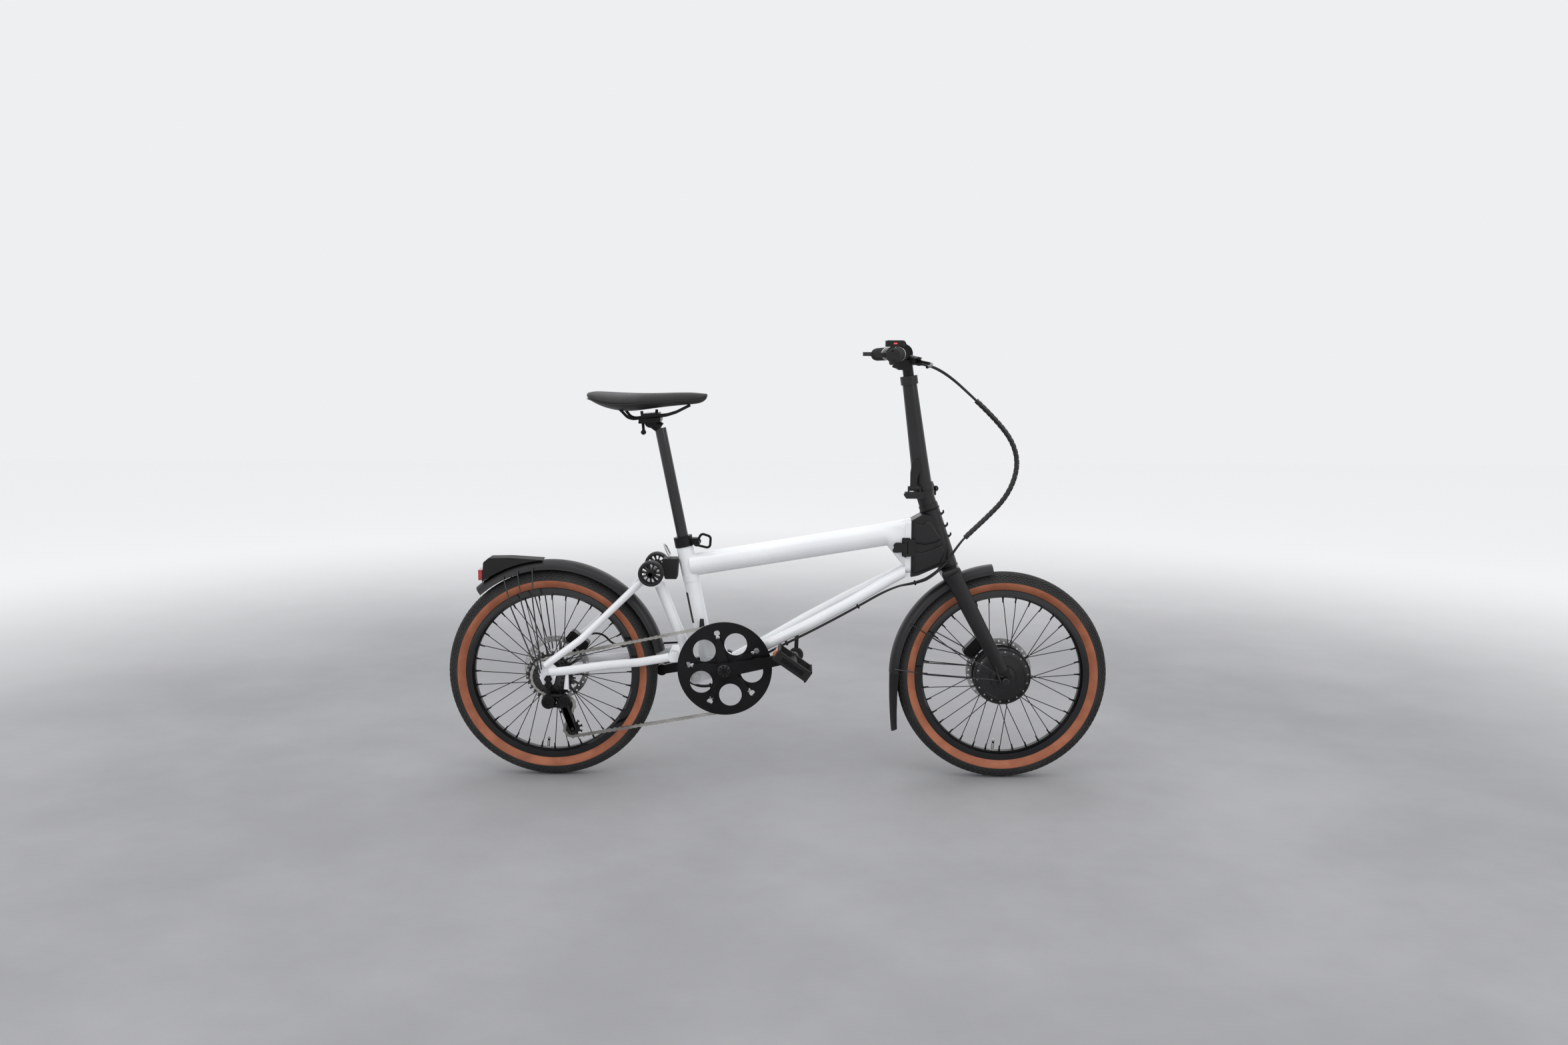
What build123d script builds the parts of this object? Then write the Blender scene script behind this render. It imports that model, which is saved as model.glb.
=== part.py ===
from build123d import *
import math
import os

os.makedirs("parts", exist_ok=True)

# A folding electric bicycle on 20 inch wheels. The two halves of the frame meet at a plate
# behind the head tube; the rear triangle swings forward about a pin behind the cranks.
# Millimetres. X points forward, Y to the rider's left, Z up. The origin is on the ground
# midway between the wheel axles.

# ---- driving sizes ----
WHEELBASE = 1085.0
TYRE_R = 253.0
TYRE_HALF = 25.0
RIM_OUT_R = TYRE_R - 44.0
RIM_IN_R = TYRE_R - 63.0
RIM_HALF = 15.0
SPOKES = 36
SPOKE_R = 1.0
FIT = 0.05          # radial room of a shaft in its bearing
ROOM = 0.5          # gap between faces that slide past each other

SEAT_TUBE_R = 19.0
SEATPOST_R = 13.6
SEAT_TUBE_TOP_Z = 563.0
SEAT_TUBE_LOW_Z = 262.0
SEAT_LEAN = 0.198   # how far the seat tube runs back for each mm it rises
SEAT_X_AT_TOP = -222.1
SADDLE_LENGTH = 282.0

TOP_TUBE_R = 27.0
DOWN_TUBE_R = 12.5
DOWN_TUBE_BOW = 24.0
DOWN_TUBE_END_Y = 22.5
HALVES_X = 318.0    # where the front and rear halves of the frame meet
FRAME_HALF = 27.0

CRANK_X = -124.0
CRANK_Z = 276.0
CRANK_LENGTH = 165.0
CRANK_RISE = 11.0   # degrees of the right crank above level
PIVOT_X = -195.0
PIVOT_Z = 248.0
CHAIN_Y = -47.0
CHAIN_PITCH = 12.7
RING_TEETH = 52
COG_TEETH = (28, 25, 22, 19, 16)
DRIVEN_COG = 2
COG_STEP = 4.6
PULLEY_TEETH = 10

HEAD_TOP = (363.0, 654.0)
HEAD_LOW = (408.7, 519.5)
HEAD_TUBE_R = 23.0
STEERER_R = 14.3
FORK_Y = 62.0
STEM_HINGE_Z = 703.5
STEM_LOW = (343.4, 721.0)
STEM_TOP = (310.8, 951.0)
BAR = (293.6, 1023.6)
BAR_R = 11.1
BAR_CLAMP_R = 12.7
BAR_HALF = 300.0
ROTOR_R = 80.0
ROTOR_Y = 45.0

REAR = (-WHEELBASE / 2, TYRE_R)
FRONT = (WHEELBASE / 2, TYRE_R)
RING_R = RING_TEETH * CHAIN_PITCH / (2 * math.pi)
PULLEY_R = PULLEY_TEETH * CHAIN_PITCH / (2 * math.pi)
GUIDE_PULLEY = (REAR[0] + 36.5, REAR[1] - 70.0)
TENSION_PULLEY = (REAR[0] + 52.5, REAR[1] - 127.0)

# Top tube and the plate at its front end
TOP_TUBE_REAR = (-208.0, 517.5)
TOP_TUBE_FRONT = (258.0, 594.0)
PLATE_THICK = 13.0
PLATE_LOW_Z = 505.0
PLATE_TOP_Z = 634.0
PLATE_BACK_X = HALVES_X - ROOM - PLATE_THICK

# The pair of down tubes
DOWN_LOW = (-105.0, 286.0)
DOWN_HIGH = (310.0, 510.7)
DOWN_TUBE_WIDE = DOWN_TUBE_END_Y + DOWN_TUBE_BOW
DOWN_TUBE_RUN = ((0, DOWN_TUBE_END_Y + 1.5), (0.19, DOWN_TUBE_END_Y + 3.5), (0.42, DOWN_TUBE_WIDE),
                 (0.66, DOWN_TUBE_WIDE), (0.9, DOWN_TUBE_END_Y + 2), (1, DOWN_TUBE_END_Y))

# Crank shell and the pivot barrel behind it
BB_R = 21.0
BB_HALF = 34.0
SPINDLE_R = 11.9
BARREL_HALF = 20.0
CHEEK = 7.0

# Hinge pins and the hinge between the frame halves
PIN_R = 6.0
HINGE_X = HALVES_X
HINGE_Y = 38.0
KNUCKLE_R = 8.0
KNUCKLE_LOW = (522.0, 545.0)
KNUCKLE_MID = (545.5, 588.5)
KNUCKLE_TOP = (589.0, 612.0)

# Latch of the frame hinge
LATCH_X = 304.0
LATCH_Y = -FRAME_HALF - 2

# Wire loop that frees the rear triangle
BAIL_X = -258.0
BAIL_Z = 541.0

# Seatpost quick release, bumpers and hoses
SEAT_LEVER_X = -192.0
SEAT_LEVER_Z = 573.0
BUMPER = (46.0, 289.0)
BUMPER_SHARE = 0.37
CABLE_SIDE_Y = -FRAME_HALF - 7.5

# Seatpost and saddle rails
POST_LOW_Z = 375.0
POST_TOP_Z = 846.0
RAIL_Y = 22.0
CRADLE = (-300.0, 862.0)

# Rear triangle and its two rollers
ROLLER = (-296.0, 508.0)
ROLLER_R = 30.0
ROLLER_Y = 69.0
ROLLER_HALF = 14.0
ROLLER_AXLE_R = 5.0
STAY_Y = 35.5
DROPOUT_Y = 68.0
PILLAR_TOP = (-284.0, 472.0)
BRIDGE = (-324.0, 482.0)

# Axles, fenders, and their wire stays as a bearing in degrees and a foot's place from the axle
AXLE_R = 6.0
FOOT_OUT = 9.5
REAR_FENDER_R = TYRE_R + 24.0
FRONT_FENDER_R = TYRE_R + 15.0
FENDER_HALF = TYRE_HALF + 2.5
FENDER_LOW_R = TYRE_R + 4.0
REAR_FENDER_ARC = (12.0, 131.0)
FRONT_FENDER_ARC = (102.0, 179.0)
REAR_STAYS = ((99, (-14.5, 24)), (107, (-17.5, 15.5)), (115, (-19, 7)))
FRONT_STAYS = (150, 176)
FLAP_DROP = (21.5, 129.0)
TAIL_LIGHT = ((1.5, 93.6), (22.3, 109.0), (41.2, 117.6), (38.0, 120.6), (-1.5, 126.7),
              (-19.0, 125.9), (-23.0, 103.0), (-17.4, 94.0))
TAIL_LENS = (-168.9, 240.0)
FLAP_THICK = 4.0

# Outlines of the plates round the rear axle, measured from it
DROPOUT = ((-23.5, 39), (2.5, 43), (20.5, 27), (18.5, 9), (12.5, -15), (-13.5, -15), (-23.5, 9))
HANGER = ((-6.5, -13), (12.5, -13), (8.5, -53), (-9.5, -53))
LINK = ((2.5, -35), (38.5, -39), (40.5, -57), (2.5, -59))
CAGE = ((48.5, -45), (31.5, -49), (23.5, -69), (39.5, -133), (52.5, -141), (64.5, -133), (58.5, -83))

# Derailleur cage, freehub and tyre valve
CAGE_AXIS = (REAR[0] + 39.5, REAR[1] - 50.0)
FREEHUB_R = 16.0
FREEHUB_CORE_R = 12.0
VALVE_BEARING = 265.0
NUT_THICK = 7.0
AXLE_STUB = 8.0

# Cranks and pedals
RIGHT_ARM_Y = -62.0
ARM_THICK = 13.0
PEDAL_AXLE_R = 7.0
LEFT_ARM_OUT = 58.0
GUARD_Y = (-54.6, -51.6)
GUARD_R = 113.0
PEDAL_TILT = 35.0

# Fork, stem hinge and stem
CROWN_THICK = 24.0
FORK_TIP = (54.0, 60.0)
STEM_JOINT = (352.0, 686.4)
STEM_MID_X = 348.0
STEM_OFF = 31.0
STEM_KNUCKLE_R = 7.0
POST_R = 12.7
STEM_LATCH_Y = -31.0
STEM_LATCH_Z = 708.0
STEM_LATCH_X = (312.0, 334.0)

# Handlebar and what is clamped to it
BAR_POST_LOW = 0.42
GRIP_START = 178.0
LEVER_Y = 122.0
LEVER_PIVOT = (312.0, 1008.0)
LEVER_PIN_R = 2.5

# Hub motor
MOTOR_R = 64.0
MOTOR_HALF = 37.0


# ---- shared shapes ----
def at(x, z, y=0.0):
    """A point given by its place in the side view and its distance to the left."""
    return Vector(x, y, z)


def by_rear(x, z):
    """A place in the side view measured from the rear axle."""
    return REAR[0] + x, REAR[1] + z


def unit(v):
    return v / v.length


def rod(p, q, r, r_end=None):
    """A round bar, or a cone where r_end is given, from p to q."""
    p, q = Vector(*p), Vector(*q)
    where = Plane(origin=p, z_dir=q - p)
    low = (Align.CENTER, Align.CENTER, Align.MIN)
    length = (q - p).length
    if r_end is None or abs(r_end - r) < 1e-6:
        return where * Cylinder(r, length, align=low)
    return where * Cone(r, r_end, length, align=low)


def longer(p, q, more):
    """The points p and q moved apart by more at each end."""
    p, q = Vector(*p), Vector(*q)
    way = unit(q - p) * more
    return p - way, q + way


def pipe(p, q, r, bore):
    return rod(p, q, r) - rod(*longer(p, q, 1), bore)


def disc(x, z, y0, y1, r):
    """A disc whose axis runs across the bicycle."""
    return rod(at(x, z, min(y0, y1)), at(x, z, max(y0, y1)), r)


def ring(x, z, y0, y1, r, bore):
    return disc(x, z, y0, y1, r) - disc(x, z, min(y0, y1) - 1, max(y0, y1) + 1, bore)


def plate(outline, y0, y1, round_by=0.0):
    """A flat plate in the side view between y0 and y1, its corners rounded."""
    side = Plane(origin=(0, max(y0, y1), 0), x_dir=(1, 0, 0), z_dir=(0, -1, 0))
    face = make_face(Polyline(*outline, close=True).edges())
    if round_by:
        face = fillet(face.vertices(), round_by)
    return extrude(side * face, abs(y1 - y0))


def turned(outline, x, z):
    """A shape turned about an axle at x, z. The outline is (radius, distance left)."""
    face = make_face(Polyline(*outline, close=True).edges())
    return Pos(x, 0, z) * revolve(face, Axis.Y, 360)


def wire_along(points, r, bends):
    """A round wire or tube through the points, each inner corner bent by its own radius."""
    way = FilletPolyline(*[Vector(*p) for p in points], radius=bends)
    start = Plane(origin=way @ 0, z_dir=way % 0)
    return sweep(start * Circle(r), path=way)


def bends_for(points, share=0.45):
    """The largest bend radii that leave straight wire on both sides of every corner."""
    out = []
    places = [Vector(*p) for p in points]
    for a, b, c in zip(places, places[1:], places[2:]):
        turn = math.radians((b - a).get_angle(c - b))
        out.append(share * min((b - a).length, (c - b).length) / math.tan(turn / 2))
    return out


def around(x, z, r, degrees):
    """The point at a bearing around x, z in the side view; 0 is forward, 90 is up."""
    a = math.radians(degrees)
    return x + r * math.cos(a), z + r * math.sin(a)


def mirrored(shape):
    return mirror(shape, Plane.XZ)


def both(shape):
    return [shape, mirrored(shape)]


def solids(*shapes):
    """The shapes as one list of separate solids."""
    out = []
    for shape in shapes:
        items = shape if isinstance(shape, (list, tuple)) else [shape]
        for item in items:
            out += list(item.solids())
    return Compound(children=out)


def seat_axis(z):
    return SEAT_X_AT_TOP - SEAT_LEAN * (z - SEAT_TUBE_TOP_Z)


def seat_point(z):
    return at(seat_axis(z), z)


def along(p, q, share):
    """The point a share of the way from p to q in the side view."""
    return p[0] + (q[0] - p[0]) * share, p[1] + (q[1] - p[1]) * share


made = {}


# ---- frame, rear half ----
def make_seat_tube():
    tube = rod(seat_point(SEAT_TUBE_LOW_Z), seat_point(SEAT_TUBE_TOP_Z), SEAT_TUBE_R)
    sleeve = rod(seat_point(480), seat_point(SEAT_TUBE_TOP_Z - 1), SEAT_TUBE_R + 1.2)
    bore = rod(seat_point(SEAT_TUBE_LOW_Z - 20), seat_point(SEAT_TUBE_TOP_Z + 20),
               SEATPOST_R + FIT)
    slot_x = seat_axis(550) - SEAT_TUBE_R
    slot = Pos(slot_x, 0, 548) * Box(30, 3, 40)
    return tube + sleeve - bore - slot


def seat_tube_cutter():
    return rod(seat_point(SEAT_TUBE_LOW_Z - 30), seat_point(SEAT_TUBE_TOP_Z + 30),
               SEAT_TUBE_R + 1.2)


def make_top_tube():
    tube = rod(at(*TOP_TUBE_REAR), at(*TOP_TUBE_FRONT), TOP_TUBE_R)
    mid_z = (PLATE_LOW_Z + PLATE_TOP_Z) / 2 + 4
    start = Plane(origin=at(*TOP_TUBE_FRONT), x_dir=(0, 1, 0),
                  z_dir=at(*TOP_TUBE_FRONT) - at(*TOP_TUBE_REAR))
    end = Plane(origin=at(PLATE_BACK_X, mid_z), x_dir=(0, 1, 0), z_dir=(1, 0, 0))
    mouth = end * RectangleRounded(2 * FRAME_HALF, 116, 20)
    flare = loft([start * Circle(TOP_TUBE_R), mouth])
    shape = tube + flare
    bore = rod(at(*along(TOP_TUBE_REAR, TOP_TUBE_FRONT, 0.08)), at(*TOP_TUBE_FRONT),
               TOP_TUBE_R - 2.2)
    return shape - bore - seat_tube_cutter()


def down_tube(side):
    """One of the twin tubes; they bow apart so the folded rear wheel fits between them."""
    path = [at(*along(DOWN_LOW, DOWN_HIGH, share), side * y) for share, y in DOWN_TUBE_RUN]
    bends = [90, 90, 120, 90]
    outer = wire_along(path, DOWN_TUBE_R, bends)
    inner = wire_along(path, DOWN_TUBE_R - 1.6, bends)
    front = Pos(PLATE_BACK_X + 50, 0, 500) * Box(100, 120, 100)
    return outer - inner - front


def down_tube_y(share):
    """How far a down tube stands from the middle a share of the way up."""
    for (s0, y0), (s1, y1) in zip(DOWN_TUBE_RUN, DOWN_TUBE_RUN[1:]):
        if share <= s1:
            return y0 + (y1 - y0) * (share - s0) / (s1 - s0)
    return DOWN_TUBE_END_Y


def bb_cutter():
    return disc(CRANK_X, CRANK_Z, -50, 50, BB_R)


def make_bottom_bracket():
    shell = disc(CRANK_X, CRANK_Z, -BB_HALF, BB_HALF, BB_R)
    web = [(CRANK_X + 8, CRANK_Z + 16), (CRANK_X - 10, CRANK_Z + 60),
           (seat_axis(340), 340), (seat_axis(262) + 2, 262), (CRANK_X, CRANK_Z - 19)]
    shape = shell + plate(web, -15, 15)
    cheek = [(PIVOT_X, PIVOT_Z + 15), (seat_axis(300), 300), (CRANK_X, CRANK_Z + 14),
             (CRANK_X, CRANK_Z - 19), (PIVOT_X, PIVOT_Z - 15)]
    inner, outer = BARREL_HALF + ROOM, BARREL_HALF + ROOM + CHEEK
    for side in (1, -1):
        shape += plate(cheek, side * inner, side * outer)
        shape += disc(PIVOT_X, PIVOT_Z, side * inner, side * outer, 17)
    shape -= disc(CRANK_X, CRANK_Z, -60, 60, SPINDLE_R + FIT)
    shape -= disc(PIVOT_X, PIVOT_Z, -60, 60, PIN_R + FIT)
    return shape - seat_tube_cutter_low()


def seat_tube_cutter_low():
    return rod(seat_point(SEAT_TUBE_LOW_Z - 30), seat_point(480), SEAT_TUBE_R)


def make_pivot_pin():
    end = BARREL_HALF + ROOM + CHEEK
    pin = disc(PIVOT_X, PIVOT_Z, -end, end, PIN_R)
    for side in (1, -1):
        pin += disc(PIVOT_X, PIVOT_Z, side * end, side * (end + 4), 10.5)
    return pin - disc(PIVOT_X, PIVOT_Z, -end - 5, -end - 1.5, 4)


def knuckle(span, grow=0.0):
    return rod((HINGE_X, HINGE_Y, span[0]), (HINGE_X, HINGE_Y, span[1]), KNUCKLE_R + grow)


def make_head_plate():
    x0, x1 = PLATE_BACK_X, HALVES_X - ROOM
    slab = Pos((x0 + x1) / 2, 0, (PLATE_LOW_Z + PLATE_TOP_Z) / 2)
    slab = slab * Box(PLATE_THICK, 2 * FRAME_HALF + 4, PLATE_TOP_Z - PLATE_LOW_Z)
    slab = fillet(slab.edges().filter_by(Axis.X), 12)
    foot = plate([(x0, 506), (x0, 494), (x1 - 3, 492), (x1, 506)], -FRAME_HALF, FRAME_HALF)
    shape = slab + foot
    for span in (KNUCKLE_LOW, KNUCKLE_TOP):
        lug = Pos((x0 + x1) / 2, HINGE_Y - 9, sum(span) / 2)
        lug = lug * Box(PLATE_THICK, 18, span[1] - span[0])
        shape += lug + knuckle(span)
    shape -= rod((HINGE_X, HINGE_Y, 500), (HINGE_X, HINGE_Y, 640), 4 + FIT)
    shape -= Pos(HALVES_X + 50 - ROOM, 0, 560) * Box(100, 2 * FRAME_HALF + 10, 200)
    return shape


def make_hinge_pin():
    pin = rod((HINGE_X, HINGE_Y, KNUCKLE_LOW[0] - 3), (HINGE_X, HINGE_Y, KNUCKLE_TOP[1] + 3), 4)
    for z0, z1 in ((KNUCKLE_LOW[0] - 5, KNUCKLE_LOW[0]), (KNUCKLE_TOP[1], KNUCKLE_TOP[1] + 5)):
        pin += rod((HINGE_X, HINGE_Y, z0), (HINGE_X, HINGE_Y, z1), 7)
    return pin


def make_latch_base():
    """The two black ears on the right of the rear half that carry the frame lever."""
    out = LATCH_Y - 11
    body = plate([(296, 590), (296, 545), (316, 545), (316, 590)], LATCH_Y, LATCH_Y - 3, 3)
    for z0, z1 in ((547, 554), (580, 587)):
        body += Pos(LATCH_X, (LATCH_Y + out) / 2, (z0 + z1) / 2) * Box(12, 11, z1 - z0)
    body += Pos(LATCH_X + 15, LATCH_Y - 6.5, 567) * Box(18, 6, 40)
    body -= rod((LATCH_X, out + 5, 540), (LATCH_X, out + 5, 600), 2.5 + FIT)
    return body - rod((LATCH_X, out + 5, 554), (LATCH_X, out + 5, 580), 6.5)


def make_latch_lever():
    """The frame lever: an eccentric drum on an upright pin and a handle lying back."""
    y = LATCH_Y - 6
    drum = rod((LATCH_X, y, 554 + ROOM), (LATCH_X, y, 580 - ROOM), 5.5)
    pin = rod((LATCH_X, y, 544), (LATCH_X, y, 590), 2.5)
    grip = [(LATCH_X, 577), (LATCH_X, 557), (290, 556), (284, 555), (275, 556), (273, 561),
            (277, 567), (275, 573), (281, 579), (292, 579)]
    handle = plate(grip, y - 4, y + 3, 3)
    return drum + pin + handle


def make_fold_catch():
    """The black block behind the seat tube that the rear triangle locks into."""
    block = plate([(-252, 535), (-274, 535), (-276, 512), (-268, 486), (-240, 486), (-236, 535)],
                  -20, 20, 3)
    block -= disc(-296, 508, -30, 30, 21)
    block -= seat_tube_cutter()
    block -= rod(at(*TOP_TUBE_REAR), at(*TOP_TUBE_FRONT), TOP_TUBE_R)
    return max(block.solids(), key=lambda s: s.volume)


def make_release_bail():
    """A wire loop pulled up to free the rear triangle."""
    path = [at(BAIL_X, BAIL_Z, 17), at(BAIL_X - 10, BAIL_Z + 20, 17),
            at(BAIL_X - 14, BAIL_Z + 28, 0), at(BAIL_X - 10, BAIL_Z + 20, -17),
            at(BAIL_X, BAIL_Z, -17)]
    loop = wire_along(path, 1.8, [6, 12, 6])
    pin = disc(BAIL_X, BAIL_Z, -19, 19, 2.2)
    return loop + pin


def make_seat_collar():
    low, high = seat_point(SEAT_TUBE_TOP_Z + 0.2), seat_point(SEAT_TUBE_TOP_Z + 24)
    outer = rod(low, high, SEAT_TUBE_R + 3.5)
    ears = Pos(seat_axis(575) + 24, 0, 576) * Box(18, 22, 16)
    shape = outer + ears
    shape -= rod(seat_point(SEAT_TUBE_TOP_Z - 2), seat_point(SEAT_TUBE_TOP_Z + 30),
                 SEATPOST_R + FIT)
    shape -= Pos(seat_axis(575) + 26, 0, 574) * Box(26, 3, 40)
    return shape - disc(SEAT_LEVER_X, SEAT_LEVER_Z, -30, 30, 3 + FIT)


def make_seat_lever():
    """The quick release: a skewer across the collar and an open loop handle."""
    skewer = disc(SEAT_LEVER_X, SEAT_LEVER_Z, -17, 18, 3)
    nut = disc(SEAT_LEVER_X, SEAT_LEVER_Z, 11 + ROOM, 19, 8)
    cam = disc(SEAT_LEVER_X, SEAT_LEVER_Z, -11 - ROOM, -22, 7.5)
    loop = [at(SEAT_LEVER_X, SEAT_LEVER_Z + 3, -20), at(-180, 597, -22), at(-158, 590, -24),
            at(-160, 562, -24), at(SEAT_LEVER_X, SEAT_LEVER_Z - 4, -20)]
    handle = wire_along(loop, 3, [8, 8, 8])
    return skewer + nut + cam + handle


def make_chain_guide():
    """A shield round the seat tube that keeps the chain from jumping inward."""
    band = pipe(seat_point(372), seat_point(392), SEAT_TUBE_R + 3, SEAT_TUBE_R)
    arm = plate([(-196, 392), (-214, 388), (-214, 372), (-192, 370)], -41, -16, 2)
    arm -= seat_tube_cutter_low()
    keep = plate([(-230, 397), (-232, 372), (-206, 366), (-186, 372), (-184, 392)], -42, -38, 4)
    return band + max(arm.solids(), key=lambda s: s.volume) + keep


def make_fold_bumpers():
    """Rubber stops under the left down tube for the folded wheel."""
    x, z = along(DOWN_LOW, DOWN_HIGH, BUMPER_SHARE)
    y = down_tube_y(BUMPER_SHARE)
    arm = rod((x, y, z), (BUMPER[0], y, BUMPER[1] + 6), 5)
    path = [at(*along(DOWN_LOW, DOWN_HIGH, share), wide) for share, wide in DOWN_TUBE_RUN]
    arm -= wire_along(path, DOWN_TUBE_R, [90, 90, 120, 90])
    arm = min(arm.solids(), key=lambda s: s.center().Z)
    puck = disc(*BUMPER, y - 7, y + 7, 18)
    puck = fillet(puck.edges(), 3)
    return arm + puck


def make_frame_cables():
    """Brake hose and gear cable clipped under the right down tube."""
    drop = DOWN_TUBE_R + 5
    out = []
    for n, r in enumerate((2.6, 2.2)):
        path = [at(402, 532, CABLE_SIDE_Y - 5.6 * n), at(368, 500 - 4 * n, CABLE_SIDE_Y - 5.6 * n)]
        path += [at(332, 482 - 4 * n, -24 + 6 * n)]
        for share in (0.9, 0.66, 0.42, 0.16):
            x, z = along(DOWN_LOW, DOWN_HIGH, share)
            path += [at(x + 5, z - drop, 6 * n - 3 - down_tube_y(share))]
        path += [at(-112, 246 - 4 * n, -12 + 6 * n), at(-160, 222 - 4 * n, -12 + 6 * n)]
        path += [at(-204, 224 - 4 * n, -10 + 7 * n), at(-238, 250 - 4 * n, -10 + 7 * n)]
        radii = [min(b, 90) for b in bends_for(path)]
        print("frame cable", n + 1, "bend radii", [round(b) for b in radii])
        out.append(wire_along(path, r, radii))
    return out


# ---- seat ----


def make_seatpost():
    post = rod(seat_point(POST_LOW_Z), seat_point(POST_TOP_Z), SEATPOST_R)
    post -= rod(seat_point(POST_LOW_Z - 2), seat_point(POST_TOP_Z - 8), SEATPOST_R - 2)
    for side in (1, -1):
        for dx in (-3.2, 3.2):
            low, high = seat_point(POST_LOW_Z + 30), seat_point(POST_TOP_Z - 20)
            shift = Vector(dx, side * (SEATPOST_R + 0.6), 0)
            post -= rod(low + shift, high + shift, 1.5)
    return post


def make_seat_clamp():
    head = disc(*CRADLE, -14, 14, 15)
    neck = rod(seat_point(POST_TOP_Z), at(*CRADLE), SEATPOST_R)
    saddle_low = plate([(-326, 868), (-328, 857), (-276, 861), (-274, 872)], -27, 27, 3)
    top = plate([(-320, 879.8), (-322, 872), (-280, 876), (-278, 883.8)], -27, 27, 2)
    bolt = rod(at(-286, 890), at(-292, 846), 3.5) + rod(at(-322, 886), at(-318, 840), 3.5)
    knob = disc(-318, 836, -5, 5, 6)
    body = head + neck + saddle_low + bolt + knob + top
    body -= rod(seat_point(POST_LOW_Z), seat_point(POST_TOP_Z), SEATPOST_R)
    for side in (1, -1):
        body -= rod(at(-340, 868.4, side * RAIL_Y), at(-262, 877.1, side * RAIL_Y), 3.5)
    return max(body.solids(), key=lambda s: s.volume)


def make_saddle_rails():
    rail = [at(-370, 893, 38), at(-352, 872, 26), at(-340, 868.4, RAIL_Y),
            at(-262, 877.1, RAIL_Y), at(-240, 884, 16), at(-208, 900, 6)]
    radii = [min(b, 30) for b in bends_for(rail)]
    return both(wire_along(rail, 3.5, radii))


def make_saddle():
    """The padded shell, wide over the hips and narrow at the nose."""
    tail, nose = -448.0, -448.0 + SADDLE_LENGTH
    stations = [(0.0, 48, 914, 8), (0.12, 72, 917, 30), (0.32, 76, 914, 40),
                (0.52, 46, 912, 34), (0.75, 24, 911, 30), (0.93, 19, 909, 28), (1.0, 9, 911, 10)]
    cuts = []
    for share, half, z, tall in stations:
        where = Plane(origin=at(tail + share * (nose - tail), z), x_dir=(0, 1, 0),
                      z_dir=(1, 0, 0))
        cuts.append(where * Ellipse(half, tall / 2))
    pad = loft(cuts)
    under = Pos(tail + 0.5 * SADDLE_LENGTH, 0, 870) * Box(SADDLE_LENGTH + 40, 90, 50)
    pad -= under
    rails = make_saddle_rails()
    for rail in rails:
        pad -= rail
    return max(pad.solids(), key=lambda s: s.volume)


# ---- rear triangle ----


def make_rear_pillar():
    """The upright of the rear triangle with its pivot barrel, roller arm and yoke."""
    barrel = disc(PIVOT_X, PIVOT_Z, -BARREL_HALF, BARREL_HALF, 16)
    post = rod(at(*PILLAR_TOP), at(PIVOT_X, PIVOT_Z), 13)
    arm = plate([(-272, 466), (-297, 466), (-310, 506), (-296, 520), (-283, 510)], -16, 16, 4)
    tie = plate([(-280, 462), (-324, 470), (-324, 493), (-290, 480)], -10, 10)
    cross = disc(*BRIDGE, -46, 46, 11)
    yoke = Pos(-240, 0, 300) * Box(40, 2 * (STAY_Y + 7), 24)
    yoke = fillet(yoke.edges().filter_by(Axis.Y), 8)
    notch = disc(*REAR, -60, 60, TYRE_R + 26)
    shape = barrel + post + arm + tie + cross + (yoke - notch)
    shape -= disc(PIVOT_X, PIVOT_Z, -60, 60, PIN_R + FIT)
    gap = BARREL_HALF + CHEEK + 2
    for side in (1, -1):
        shape -= disc(PIVOT_X, PIVOT_Z, side * BARREL_HALF, side * gap, 19)
    return shape - disc(*ROLLER, -60, 60, ROLLER_AXLE_R)


def chain_stay():
    path = [at(*by_rear(1.5, 15), -DROPOUT_Y), at(*by_rear(42.5, 18.5), -64), at(*by_rear(137.5, 27), -STAY_Y - 4),
            at(-330, 286, -STAY_Y), at(-256, 299, -STAY_Y)]
    way = FilletPolyline(*path, radius=[120, 120, 120])
    start = Plane(origin=way @ 0, x_dir=(0, 1, 0), z_dir=way % 0)
    return sweep(start * Ellipse(7, 10.5), path=way)


def seat_stay():
    path = [at(*BRIDGE, -41), at(*by_rear(75.5, 92), -58), at(*by_rear(-8.5, 31), -DROPOUT_Y - 1)]
    return wire_along(path, 8.5, [90])


def dropout():
    outline = [by_rear(*p) for p in DROPOUT]
    hook = plate(outline, -DROPOUT_Y - 2.5, -DROPOUT_Y + 2.5, 5)
    return hook - disc(*REAR, -100, 100, AXLE_R)


def make_rear_stays():
    """Chain stays, seat stays and the plates that hold the axle, both sides."""
    right = dropout() + (chain_stay() + seat_stay() - disc(*REAR, -100, 100, 10))
    right -= disc(*BRIDGE, -46, 46, 11)
    right -= Pos(-240, 0, 300) * Box(40, 200, 24)
    peg = rod(at(*by_rear(42.5, 9), -60), at(*by_rear(40.5, -27), -60), 4, 6.5)
    side = max(right.solids(), key=lambda s: s.volume)
    return [side + peg, mirrored(side)]


def make_roller_axle():
    axle = disc(*ROLLER, -ROLLER_Y - 20, ROLLER_Y + 20, ROLLER_AXLE_R)
    for side in (1, -1):
        inner = ROLLER_Y - ROLLER_HALF - ROOM
        axle += disc(*ROLLER, side * 16, side * inner, 9)
        outer = ROLLER_Y + ROLLER_HALF + ROOM
        axle += disc(*ROLLER, side * outer, side * (outer + 4), 9)
    return axle


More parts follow.
